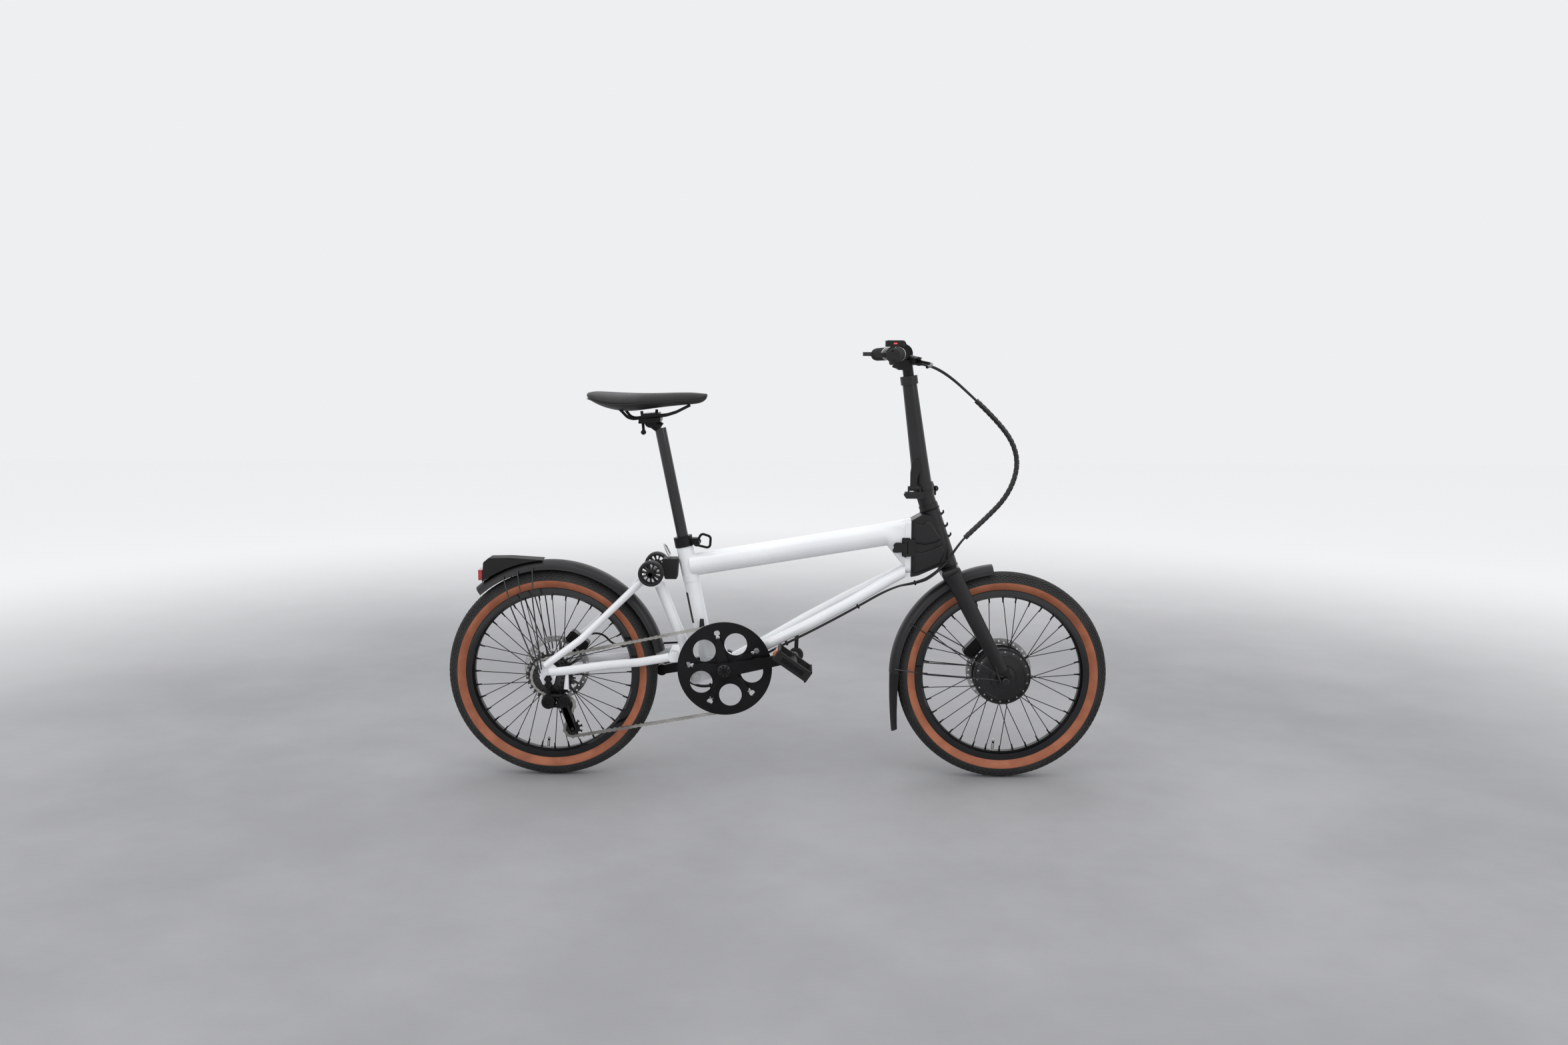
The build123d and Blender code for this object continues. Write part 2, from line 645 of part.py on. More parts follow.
def make_roller(side):
    """A hard black wheel the folded bicycle is pushed along on."""
    y0, y1 = side * (ROLLER_Y - ROLLER_HALF), side * (ROLLER_Y + ROLLER_HALF)
    wheel = disc(*ROLLER, y0, y1, ROLLER_R)
    wheel = fillet(wheel.edges(), 4)
    for n in range(11):
        x, z = around(*ROLLER, 19, n * 360 / 11)
        wheel -= disc(x, z, side * (ROLLER_Y + ROLLER_HALF - 5), y1 + side, 3.2)
    return wheel - disc(*ROLLER, y0 - side, y1 + side, ROLLER_AXLE_R + FIT)


def fender(centre, r, half, start, end, thick=1.6):
    """A curved guard over a tyre, its edges turned down."""
    right = [(r, 10 - half), (r - 9, -half), (FENDER_LOW_R, -half), (FENDER_LOW_R, thick - half),
             (r - 9.6, thick - half), (r - thick, 10.8 - half)]
    outline = right + [(out, -y) for out, y in reversed(right)]
    face = make_face(Polyline(*outline, close=True).edges())
    strip = revolve(face, Axis.Y, end - start)
    return Pos(centre[0], 0, centre[1]) * Rot(0, -end, 0) * strip


def stay_wire(centre, r, half, bearing, foot, plate_y):
    """A bent wire from a fender's edge down to an eyelet on the axle plate, both sides."""
    top = around(*centre, r - 12, bearing)
    foot_y = -plate_y - FOOT_OUT
    path = [at(*top, -half - 2), at(*along(top, foot, 0.35), foot_y + 8), at(*foot, foot_y)]
    wire = wire_along(path, 2.0, [60])
    return both(wire + disc(*foot, -plate_y, -plate_y - FOOT_OUT - 2, 4))


def make_rear_fender():
    out = [fender(REAR, REAR_FENDER_R, FENDER_HALF, *REAR_FENDER_ARC)]
    for bearing, foot in REAR_STAYS:
        out += stay_wire(REAR, REAR_FENDER_R, FENDER_HALF, bearing, by_rear(*foot), DROPOUT_Y + 2.5)
    return out


def make_tail_light():
    """The lamp housing on the rear fender and its bracket."""
    shell = plate([around(*REAR, REAR_FENDER_R + out, bearing) for out, bearing in TAIL_LIGHT],
                  -22, 22, 5)
    shell -= disc(*REAR, -40, 40, REAR_FENDER_R + 0.4)
    x, z = by_rear(*TAIL_LENS)
    shell -= Pos(x - 4.6, 0, z) * Box(22, 36, 26)
    return max(shell.solids(), key=lambda s: s.volume)


def make_tail_lens():
    x, z = by_rear(*TAIL_LENS)
    lens = Pos(x, 0, z) * Box(11.6, 35, 25)
    return fillet(lens.edges().filter_by(Axis.Z), 3)


def caliper(x, z, lean):
    """A disc brake caliper straddling the rotor."""
    body = Pos(x, 0, z) * Rot(0, -lean, 0) * Pos(0, ROTOR_Y + 1, 0) * Box(56, 27, 30)
    body = fillet(body.edges().filter_by(Axis.Y), 8)
    return body


def make_rear_caliper():
    x, z = around(*REAR, ROTOR_R + 6, 52)
    body = caliper(x, z, 52 + 90)
    body -= disc(*REAR, ROTOR_Y - 2, ROTOR_Y + 2, ROTOR_R + 3)
    mount = rod((x + 10, ROTOR_Y + 14, z + 2), at(*by_rear(37.5, 33), 64), 5)
    hose = [at(x + 8, z + 14, 40), at(x + 60, z + 22, 38), at(*by_rear(142.5, 57), 37), at(-300, 316, 36),
            at(-242, 324, 14)]
    radii = [min(b, 80) for b in bends_for(hose)]
    print("rear hose bend radii", [round(b) for b in radii])
    tube = wire_along(hose, 2.5, radii)
    return [body + mount - make_left_stay(), tube]


def make_left_stay():
    return made["rear_stays"].solids()[1]


def make_derailleur_body():
    """The upper half of the rear derailleur: hanger bolt, link plates and lower knuckle."""
    outer = DROPOUT_Y + 2.5
    hanger = plate([by_rear(*p) for p in HANGER], -outer, -outer - 4, 4)
    bolt = disc(*by_rear(-0.5, -46), -outer - 4, -outer - 13, 13)
    link = plate([by_rear(*p) for p in LINK], -62, -82, 4)
    knuckle_low = disc(*CAGE_AXIS, -58, -78, 13)
    shape = bolt + hanger + link + knuckle_low
    shape -= disc(*CAGE_AXIS, -59.5, -40, 30)
    return shape - disc(*CAGE_AXIS, -80, -50, 4 + FIT)


def cage_plate(y0, y1):
    outline = [by_rear(*p) for p in CAGE]
    return plate(outline, y0, y1, 6)


def make_derailleur_cage():
    """The sprung arm that carries both pulleys and keeps the chain tight."""
    half = 5.5
    shape = cage_plate(CHAIN_Y - half, CHAIN_Y - half - 2.2)
    shape += cage_plate(CHAIN_Y + half, CHAIN_Y + half + 2.2)
    shape -= disc(*CAGE_AXIS, CHAIN_Y, CHAIN_Y + 20, 17)
    for centre in (GUIDE_PULLEY, TENSION_PULLEY):
        shape += disc(*centre, CHAIN_Y - half - 3, CHAIN_Y + half + 3, 2.5)
    shape += disc(*CAGE_AXIS, CHAIN_Y - half - 1, -70, 4)
    return shape


def toothed(centre, teeth, y0, y1, bore):
    """A chain wheel with a rounded gap for each roller."""
    r = teeth * CHAIN_PITCH / (2 * math.pi)
    wheel = disc(*centre, y0, y1, r + 3.2)
    step = 360 / teeth
    gaps = [disc(*around(*centre, r, n * step), y0 - 1, y1 + 1, 4.2) for n in range(teeth)]
    return wheel.cut(*gaps).cut(disc(*centre, y0 - 1, y1 + 1, bore))


def make_pulley(centre):
    return toothed(centre, PULLEY_TEETH, CHAIN_Y - 1.2, CHAIN_Y + 1.2, 2.5 + FIT)


def make_cassette():
    """The rear sprockets, largest beside the wheel, on their own free-turning carrier."""
    parts = []
    for n, teeth in enumerate(COG_TEETH):
        y = CHAIN_Y + COG_STEP * (DRIVEN_COG - n)
        parts.append(toothed(REAR, teeth, y - 0.9, y + 0.9, FREEHUB_R - 1))
    y_in = CHAIN_Y + COG_STEP * DRIVEN_COG + 0.9
    y_out = CHAIN_Y - COG_STEP * (len(COG_TEETH) - 1 - DRIVEN_COG) - 4
    core = ring(*REAR, y_in, y_out, FREEHUB_R, FREEHUB_CORE_R + FIT)
    return core.fuse(*parts)


def belt_path(circles, offset):
    """The closed loop of a chain round circles (x, z, radius, sense) shifted outward."""
    points = []
    count = len(circles)
    for i in range(count):
        xa, za, ra, sa = circles[i]
        xb, zb, rb, sb = circles[(i + 1) % count]
        ra, rb = sa * ra + offset, sb * rb + offset
        dx, dz = xb - xa, zb - za
        d = math.hypot(dx, dz)
        # the unit normal of the tangent line that leaves both circles on the same hand
        c = (ra - rb) / d
        s = math.sqrt(1 - c * c)
        nx, nz = (dx * c + dz * s) / d, (dz * c - dx * s) / d
        points.append(((xa + nx * ra, za + nz * ra), (xb + nx * rb, zb + nz * rb)))
    edges = []
    for i in range(count):
        leave, arrive = points[i]
        edges.append(Line(leave, arrive))
        x, z, r, sense = circles[(i + 1) % count]
        nxt = points[(i + 1) % count][0]
        reach = abs(sense * r + offset)
        a0 = math.atan2(arrive[1] - z, arrive[0] - x)
        a1 = math.atan2(nxt[1] - z, nxt[0] - x)
        sweep_by = (a1 - a0) % (2 * math.pi)
        if sense < 0:
            sweep_by -= 2 * math.pi
        mid = a0 + sweep_by / 2
        via = (x + reach * math.cos(mid), z + reach * math.sin(mid))
        edges.append(ThreePointArc(arrive, via, nxt))
    return make_face(Wire(edges))


def make_chain():
    """The chain as a closed band in its own plane, teeth height cleared inside."""
    cog_r = COG_TEETH[DRIVEN_COG] * CHAIN_PITCH / (2 * math.pi)
    loop = [(CRANK_X, CRANK_Z, RING_R, 1), (*REAR, cog_r, 1), (*GUIDE_PULLEY, PULLEY_R, -1),
            (*TENSION_PULLEY, PULLEY_R, 1)]
    outer, inner = belt_path(loop, 4), belt_path(loop, -4)
    side = Plane(origin=(0, CHAIN_Y + 3.3, 0), x_dir=(1, 0, 0), z_dir=(0, -1, 0))
    band = extrude(side * (outer - inner), 6.6)
    slot = Plane(origin=(0, CHAIN_Y + 1.6, 0), x_dir=(1, 0, 0), z_dir=(0, -1, 0))
    groove = extrude(slot * (belt_path(loop, 3.3) - belt_path(loop, -5)), 3.2)
    groove += disc(*GUIDE_PULLEY, CHAIN_Y - 1.6, CHAIN_Y + 1.6, PULLEY_R + 3.6)
    return band - groove


# ---- wheels ----
def make_tyre(centre):
    """A hollow tyre: crown, bulging walls and beads inside the rim's hooks."""
    bead, hook = RIM_HALF - 2.2, RIM_OUT_R - 5.6
    out = [(bead, hook), (bead, RIM_OUT_R + 1), (TYRE_HALF, 229), (18, 246.5), (0, TYRE_R)]
    wall = 3.2
    inn = [(bead - wall, hook), (bead - wall, RIM_OUT_R + 3), (TYRE_HALF - wall, 229),
           (16, 243), (0, TYRE_R - 4)]

    def half(p, s):
        return (p[1], s * p[0])
    edges = [Line(half(out[0], 1), half(out[1], 1)),
             ThreePointArc(half(out[1], 1), half(out[2], 1), half(out[3], 1)),
             ThreePointArc(half(out[3], 1), (TYRE_R, 0), half(out[3], -1)),
             ThreePointArc(half(out[3], -1), half(out[2], -1), half(out[1], -1)),
             Line(half(out[1], -1), half(out[0], -1)),
             Line(half(out[0], -1), half(inn[0], -1)),
             Line(half(inn[0], -1), half(inn[1], -1)),
             ThreePointArc(half(inn[1], -1), half(inn[2], -1), half(inn[3], -1)),
             ThreePointArc(half(inn[3], -1), (TYRE_R - 4, 0), half(inn[3], 1)),
             ThreePointArc(half(inn[3], 1), half(inn[2], 1), half(inn[1], 1)),
             Line(half(inn[1], 1), half(inn[0], 1)),
             Line(half(inn[0], 1), half(out[0], 1))]
    face = make_face(Wire(edges))
    return Pos(centre[0], 0, centre[1]) * revolve(face, Axis.Y, 360)


def make_rim(centre):
    lip, well = RIM_OUT_R, RIM_OUT_R - 6
    h = RIM_HALF
    outline = [(lip, h), (RIM_IN_R + 5, h), (RIM_IN_R, h - 8), (RIM_IN_R, 8 - h),
               (RIM_IN_R + 5, -h), (lip, -h), (lip, 2 - h), (well, 2 - h), (well, h - 2), (lip, h - 2)]
    inside = [(well - 2, h - 3), (RIM_IN_R + 5, h - 2), (RIM_IN_R + 2, h - 9),
              (RIM_IN_R + 2, 9 - h), (RIM_IN_R + 5, 2 - h), (well - 2, 3 - h)]
    shape = turned(outline, *centre) - turned(inside, *centre)
    x, z = around(*centre, RIM_IN_R - 22, VALVE_BEARING)
    x1, z1 = around(*centre, RIM_IN_R + 1, VALVE_BEARING)
    return shape + rod(at(x, z), at(x1, z1), 3)


def make_spokes(centre, flange_r, flange_y_right, flange_y_left, lead):
    """Spokes leaving the hub flanges in crossing pairs, every other one to each side."""
    out = []
    step = 360 / SPOKES
    for n in range(SPOKES):
        y = flange_y_right if n % 2 else flange_y_left
        way = lead if (n // 2) % 2 else -lead
        hub = around(*centre, flange_r, n * step + way)
        rim_end = around(*centre, RIM_IN_R, n * step)
        skew = 1.2 if way > 0 else -1.2
        end_y = 3.0 if y > 0 else -3.0
        out.append(rod(at(*hub, y + skew), at(*rim_end, end_y), SPOKE_R))
    return out


def make_rear_hub():
    shell = turned([(15, -27), (26, -24), (26, -19), (14, -16), (14, 20), (26, 22), (26, 26),
                    (24, ROTOR_Y - 2), (9, ROTOR_Y - 2), (9, -27)], *REAR)
    core = disc(*REAR, -27, -58, FREEHUB_CORE_R)
    return shell + core - disc(*REAR, -80, 80, AXLE_R + FIT)


def make_rear_axle():
    """The fixed axle with its nuts outside the axle plates."""
    end = DROPOUT_Y + 2.5
    tip = end + NUT_THICK + AXLE_STUB
    axle = disc(*REAR, -tip, tip, AXLE_R)
    for side in (1, -1):
        nut = Pos(REAR[0], 0, REAR[1]) * Rot(90, 0, 0) * extrude(RegularPolygon(9.5, 6), NUT_THICK)
        shift = end + NUT_THICK if side > 0 else -end
        axle += Pos(0, shift, 0) * nut
    for side, inner in ((1, ROTOR_Y + 6), (-1, 60)):
        axle += disc(*REAR, side * inner, side * (DROPOUT_Y - 2.5), 9)
    return axle


def make_rotor(centre, bore):
    """A drilled brake disc with a ring of lightening holes and five spider arms."""
    outer = ring(*centre, ROTOR_Y - 0.9, ROTOR_Y + 0.9, ROTOR_R, ROTOR_R - 15)
    holes = [disc(*around(*centre, ROTOR_R - 7.5 + 3 * math.sin(n * 2.1), n * 10),
                  ROTOR_Y - 2, ROTOR_Y + 2, 2.2) for n in range(36)]
    outer = outer.cut(*holes)
    hub = ring(*centre, ROTOR_Y - 0.9, ROTOR_Y + 0.9, bore + 9, bore)
    arms = []
    for n in range(6):
        inner_end = around(*centre, bore + 6, n * 60)
        outer_end = around(*centre, ROTOR_R - 13, n * 60 + 22)
        a, b = at(*inner_end), at(*outer_end)
        where = Plane(origin=(a + b) / 2 + Vector(0, ROTOR_Y, 0), x_dir=b - a, z_dir=(0, 1, 0))
        arms.append(where * Box((b - a).length, 7, 1.8))
    return outer.fuse(hub, *arms)


# ---- cranks ----


def crank_arm(y0, y1, bearing):
    """One forged arm, broad at the axle and narrow at the pedal eye."""
    boss = disc(CRANK_X, CRANK_Z, y0, y1, 19)
    eye_x, eye_z = around(CRANK_X, CRANK_Z, CRANK_LENGTH, bearing)
    eye = disc(eye_x, eye_z, y0, y1, 14)
    outline = []
    for reach, half in ((6, 16), (CRANK_LENGTH - 6, 11)):
        x, z = around(CRANK_X, CRANK_Z, reach, bearing)
        outline.append((around(x, z, half, bearing + 90), around(x, z, half, bearing - 90)))
    bar = plate([outline[0][0], outline[1][0], outline[1][1], outline[0][1]], y0, y1)
    return boss + eye + bar


def make_crankset():
    spindle = disc(CRANK_X, CRANK_Z, RIGHT_ARM_Y - ARM_THICK, LEFT_ARM_OUT + ARM_THICK, SPINDLE_R)
    for side, start in ((1, BB_HALF + ROOM), (-1, BB_HALF + ROOM)):
        end = LEFT_ARM_OUT if side > 0 else -RIGHT_ARM_Y
        spindle += disc(CRANK_X, CRANK_Z, side * start, side * end, SPINDLE_R + 3)
    right = crank_arm(RIGHT_ARM_Y, RIGHT_ARM_Y - ARM_THICK, CRANK_RISE)
    left = crank_arm(LEFT_ARM_OUT, LEFT_ARM_OUT + ARM_THICK, CRANK_RISE + 180)
    shape = spindle + right + left
    for n in range(5):
        bearing = 30 + 72 * n
        tip_x, tip_z = around(CRANK_X, CRANK_Z, 70, bearing)
        shape += plate(arm_outline(bearing), RIGHT_ARM_Y - 1, RIGHT_ARM_Y + 5)
        shape += disc(tip_x, tip_z, RIGHT_ARM_Y - 2, GUARD_Y[0], 6)
    cap = disc(CRANK_X, CRANK_Z, RIGHT_ARM_Y - ARM_THICK, RIGHT_ARM_Y - ARM_THICK - 3, 9)
    return shape + cap


def arm_outline(bearing):
    pairs = []
    for reach, half in ((10, 13), (70, 7)):
        x, z = around(CRANK_X, CRANK_Z, reach, bearing)
        pairs.append((around(x, z, half, bearing + 90), around(x, z, half, bearing - 90)))
    return [pairs[0][0], pairs[1][0], pairs[1][1], pairs[0][1]]


def make_chainring():
    """The toothed ring riveted inside a guard disc with five large windows."""
    guard = ring(CRANK_X, CRANK_Z, *GUARD_Y, GUARD_R, SPINDLE_R + 3)
    holes = []
    for n in range(5):
        x, z = around(CRANK_X, CRANK_Z, 65, 66 + 72 * n)
        holes.append(disc(x, z, GUARD_Y[0] - 1, GUARD_Y[1] + 1, 27))
        x, z = around(CRANK_X, CRANK_Z, 88, 102 + 72 * n)
        holes.append(disc(x, z, GUARD_Y[0] - 1, GUARD_Y[1] + 1, 7))
    guard = guard.cut(*holes)
    teeth = toothed((CRANK_X, CRANK_Z), RING_TEETH, CHAIN_Y - 1.2, CHAIN_Y + 1.2, RING_R - 12)
    posts = []
    for n in range(5):
        x, z = around(CRANK_X, CRANK_Z, RING_R - 8.5, 102 + 72 * n)
        posts.append(disc(x, z, CHAIN_Y - 1, GUARD_Y[1] - 0.5, 3))
    return guard.fuse(teeth, *posts)


def make_pedal(side):
    """A cage pedal: axle tube, end plates, front and back rails with a reflector in each."""
    bearing = CRANK_RISE if side < 0 else CRANK_RISE + 180
    x, z = around(CRANK_X, CRANK_Z, CRANK_LENGTH, bearing)
    start = (-RIGHT_ARM_Y if side < 0 else LEFT_ARM_OUT) + ARM_THICK
    inner, outer = start + 7, start + 84
    tube = disc(0, 0, side * inner, side * outer, 11)
    cage = []
    for y in (inner + 3, outer - 3):
        cage.append(Pos(0, side * y, 0) * Box(88, 6, 26))
    for fore in (-44, 44):
        cage.append(Pos(fore, side * (inner + outer) / 2, 0) * Box(5, outer - inner, 26))
    shape = tube.fuse(*cage)
    shape -= disc(0, 0, side * (inner - 1), side * (outer - 8), PEDAL_AXLE_R + FIT)
    tilt = PEDAL_TILT if side < 0 else -8
    return Pos(x, 0, z) * Rot(0, tilt, 0) * shape


def make_pedal_axle(side):
    bearing = CRANK_RISE if side < 0 else CRANK_RISE + 180
    x, z = around(CRANK_X, CRANK_Z, CRANK_LENGTH, bearing)
    start = -RIGHT_ARM_Y if side < 0 else LEFT_ARM_OUT
    return disc(x, z, side * (start - 1), side * (start + ARM_THICK + 84 - 8.5), PEDAL_AXLE_R)


# ---- frame, front half ----
def head_point(share):
    return at(*along(HEAD_TOP, HEAD_LOW, share))


def make_head_housing():
    """The front half of the frame: the box behind the head tube and the tube itself."""
    outline = [(HALVES_X + ROOM, 631), (345, 646), (368, 642), (406, 530), (386, 521), (336, 499),
               (HALVES_X + ROOM, 495)]
    box = plate(outline, -FRAME_HALF, FRAME_HALF)
    for side in (1, -1):
        panel = [(326, 620), (352, 622), (384, 534), (330, 508)]
        box += plate(panel, side * FRAME_HALF, side * (FRAME_HALF + 2.5), 6)
    tube = rod(head_point(0), head_point(1), HEAD_TUBE_R)
    shape = box + tube
    shape += rod((HINGE_X + 4, HINGE_Y - 4, KNUCKLE_MID[0]), (HINGE_X + 4, HINGE_Y - 4, KNUCKLE_MID[1]), 9)
    shape += knuckle(KNUCKLE_MID)
    shape += Pos(HINGE_X + 14, FRAME_HALF + 1, sum(KNUCKLE_MID) / 2) * Box(
        24, 14, KNUCKLE_MID[1] - KNUCKLE_MID[0])
    shape -= knuckle((KNUCKLE_LOW[0] - 8, KNUCKLE_LOW[1]), 1.5)
    shape -= knuckle((KNUCKLE_TOP[0], KNUCKLE_TOP[1] + 8), 1.5)
    shape -= Pos(HALVES_X - 50 + ROOM, 0, 560) * Box(100, 2 * FRAME_HALF + 10, 200)
    shape -= rod((HINGE_X, HINGE_Y, 500), (HINGE_X, HINGE_Y, 640), 4 + FIT)
    shape -= rod(*longer(head_point(0), head_point(1), 5), STEERER_R + FIT)
    shape -= rod(head_point(0.15), head_point(0.85), HEAD_TUBE_R - 3)
    return shape


# ---- fork and steering column ----


def make_fork():
    """Steerer, crown and two flat oval legs ending in axle plates."""
    head_dir = unit(at(*HEAD_LOW) - at(*HEAD_TOP))
    low = at(*HEAD_LOW) + head_dir * ROOM
    top = at(*STEM_JOINT)
    steerer = rod(top, low + head_dir * 4, STEERER_R)
    crown_mid = low + head_dir * (CROWN_THICK / 2)
    where = Plane(origin=crown_mid, x_dir=(0, 1, 0), z_dir=head_dir)
    crown = where * Box(2 * FORK_Y + 6, 46, CROWN_THICK)
    crown = fillet(crown.edges(), 8)
    shape = steerer + crown
    for side in (1, -1):
        leg_top = crown_mid + Vector(0, side * (FORK_Y - 2), 0)
        leg_low = at(FRONT[0] - 7, FRONT[1] + 22, side * FORK_Y)
        run = Plane(origin=leg_top, x_dir=(0, 1, 0), z_dir=leg_low - leg_top)
        end = Plane(origin=leg_low, x_dir=(0, 1, 0), z_dir=leg_low - leg_top)
        shape += loft([run * Ellipse(11, 20), end * Ellipse(8, 15)])
        tip = plate([(FRONT[0] - 22, 284), (FRONT[0] + 8, 288), (FRONT[0] + 15, 254), (FRONT[0] + 8, 238),
                     (FRONT[0] - 10, 238), (FRONT[0] - 18, 254)], side * FORK_TIP[0], side * FORK_TIP[1], 5)
        shape += tip
    shape -= disc(*FRONT, -90, 90, AXLE_R)
    shape -= disc(*FRONT, -90, -FORK_TIP[1], 12)
    shape -= disc(*FRONT, FORK_TIP[1], 90, 12)
    shape -= disc(*FRONT, -50, 50, 96)
    return shape - rod(top - head_dir, low + head_dir * 60, STEERER_R - 3)


def make_stem_base():
    """The column above the headset, ending in the lower half of the stem hinge."""
    head_dir = unit(at(*HEAD_TOP) - at(*HEAD_LOW))
    start = at(*HEAD_TOP) + head_dir * ROOM
    cover = rod(start, start + head_dir * 14, HEAD_TUBE_R)
    column = rod(start, at(*STEM_JOINT) + head_dir * 4, 21)
    block = rod((STEM_MID_X, 0, 684), (STEM_MID_X, 0, STEM_HINGE_Z - 0.25), 24)
    shape = cover + column + block + stem_latch_bracket()
    lug = Plane(origin=(STEM_MID_X, 0, STEM_HINGE_Z - 8), x_dir=(1, 1, 0), z_dir=(0, 0, 1))
    shape += lug * Pos(STEM_OFF / 2, 0, 0) * Box(STEM_OFF, 26, 15.5)
    for side in (1, -1):
        shape += stem_knuckle(side * 6.5, side * 13)
    shape -= stem_knuckle(-6.5, 6.5, 1.2)
    shape -= stem_knuckle(-20, 20, -STEM_KNUCKLE_R + 3 + FIT)
    return shape - rod(start - head_dir * 5, at(*STEM_JOINT) + head_dir * 1, STEERER_R + 0.02)


def stem_hinge_point(offset):
    """A point on the stem's slanting hinge line; it crosses the column's front left."""
    out = STEM_OFF / math.sqrt(2)
    side = offset / math.sqrt(2)
    return Vector(STEM_MID_X + out - side, out + side, STEM_HINGE_Z)


def stem_knuckle(a, b, grow=0.0):
    return rod(stem_hinge_point(min(a, b)), stem_hinge_point(max(a, b)), STEM_KNUCKLE_R + grow)


def make_stem_pin():
    pin = rod(stem_hinge_point(-15), stem_hinge_point(15), 3)
    pin += rod(stem_hinge_point(-16), stem_hinge_point(-13), 5)
    return pin + rod(stem_hinge_point(13), stem_hinge_point(16), 5)


def make_stem_tube():
    """The tall handlebar column with the upper half of its hinge."""
    low, top = at(*STEM_LOW), at(*STEM_TOP)
    way = unit(top - low)
    block = rod((STEM_MID_X, 0, STEM_HINGE_Z + 0.25), (STEM_MID_X, 0, 722), 24, 22)
    tube = rod(low - way * 4, low + way * 60, 22.5, 20.5)
    tube += rod(low + way * 60, top, 20.5, 17)
    collar = rod(top, top + way * 20, 20.5)
    shape = block + tube + collar
    lug = Plane(origin=(STEM_MID_X, 0, STEM_HINGE_Z + 6), x_dir=(1, 1, 0), z_dir=(0, 0, 1))
    shape += lug * Pos(STEM_OFF / 2, 0, 0) * Box(STEM_OFF, 12, 11)
    shape += stem_knuckle(-6, 6)
    for side in (1, -1):
        shape -= stem_knuckle(side * 6, side * 40, 1.2)
    shape -= stem_knuckle(-20, 20, -STEM_KNUCKLE_R + 3 + FIT)
    bore = rod(low + way * 10, top + way * 21, POST_R + FIT)
    return shape - bore


def stem_latch_pin(r, more):
    x0, x1 = STEM_LATCH_X
    return rod((x0 - more, STEM_LATCH_Y, STEM_LATCH_Z), (x1 + more, STEM_LATCH_Y, STEM_LATCH_Z), r)


def stem_latch_bracket():
    """The arm on the fixed half of the hinge that carries the stem lever between two ears."""
    arm = plate([(302, 700), (298, 692), (304, 684), (345, 684), (347, 700)], -37, -22, 2)
    for x in (STEM_LATCH_X[0] - 2.5, STEM_LATCH_X[1] + 2.5):
        arm += Pos(x, STEM_LATCH_Y, 702) * Box(4, 11, 22)
    return arm - stem_latch_pin(2 + FIT, 12)


def make_stem_latch():
    """The lever on the right rear of the stem hinge, standing up along the column."""
    y = STEM_LATCH_Y
    stalk = [(313, 708), (324, 708), (330, 733), (337, 752), (335, 776), (317, 774), (313, 745)]
    flag = plate(stalk, y - 2.5, y + 2, 3)
    return flag + stem_latch_pin(6, 0) + stem_latch_pin(2, 4.5)


def make_handlebar_post():
    """The sliding inner post and the clamp at its top."""
    low, top = at(*STEM_LOW), at(*STEM_TOP)
    way = unit(top - low)
    start = low + (top - low) * BAR_POST_LOW
    end = top + way * 55
    post = rod(start, end, POST_R) - rod(start - way, end - way * 22, POST_R - 2)
    clamp = disc(*BAR, -20, 20, 22)
    cap = plate([(BAR[0] - 16, BAR[1] + 8), (BAR[0] + 14, BAR[1] + 8), (BAR[0] + 4, BAR[1] + 29),
                 (BAR[0] - 12, BAR[1] + 26)], -12, 12, 3)
    shape = post + clamp + cap
    return shape - disc(*BAR, -30, 30, BAR_CLAMP_R)


def bar_path():
    x, z = BAR
    return [at(x - 43, z - 4.1, BAR_HALF), at(x - 18, z - 1, 140), at(x, z, 55), at(x, z, -55),
            at(x - 18, z - 1, -140), at(x - 43, z - 4.1, -BAR_HALF)]


def make_handlebar():
    bar = wire_along(bar_path(), BAR_R, [150, 90, 90, 150])
    return bar + disc(*BAR, -28, 28, BAR_CLAMP_R)


def bar_point(y):
    """The place of the bar's middle at a distance from the centre, on its outer run."""
    x, z = BAR
    share = (abs(y) - 140) / (BAR_HALF - 140)
    return Vector(x - 18 - 25 * share, y, z - 1 - 3.1 * share)


def make_grips():
    """Soft grips with a palm rest that widens rearward."""
    a, b = bar_point(GRIP_START), bar_point(BAR_HALF)
    tube = rod(a, b, 15.5)
    rest = Plane(origin=(a + b) / 2, x_dir=b - a, z_dir=(0, 0, 1))
    pad = [(-50, -6), (-20, 34), (40, 42), (58, 26), (58, -6)]
    wing = extrude(rest * make_face(Polyline(*pad, close=True).edges()), 5, both=True)
    wing = fillet(wing.edges().filter_by(Axis.Z), 5)
    cap = rod(b, b + unit(b - a) * 3, 14)
    shape = tube + wing - rod(*longer(a, b, 1), BAR_R) + cap
    return both(shape)


def lever_clamp():
    """The brake master cylinder body with its clamp round the bar."""
    c = Vector(BAR[0] - 14, LEVER_Y + 8, BAR[1] - 1)
    clamp = rod(c - Vector(0, 8, 0), c + Vector(0, 8, 0), 17)
    body = rod((306, LEVER_Y - 38, 1010), (320, LEVER_Y + 14, 1006), 10)
    shape = clamp + body
    pin_x, pin_y = LEVER_PIVOT[0] + 6, LEVER_Y + 8
    shape -= rod(at(pin_x, 990, pin_y), at(pin_x, 1030, pin_y), LEVER_PIN_R + FIT)
    shape -= Pos(LEVER_PIVOT[0] + 14, LEVER_Y + 14, 1007) * Box(32, 30, 11)
    return shape


def make_brake_bodies():
    bar = wire_along(bar_path(), BAR_R, [150, 90, 90, 150])
    return [item - bar for item in both(lever_clamp())]


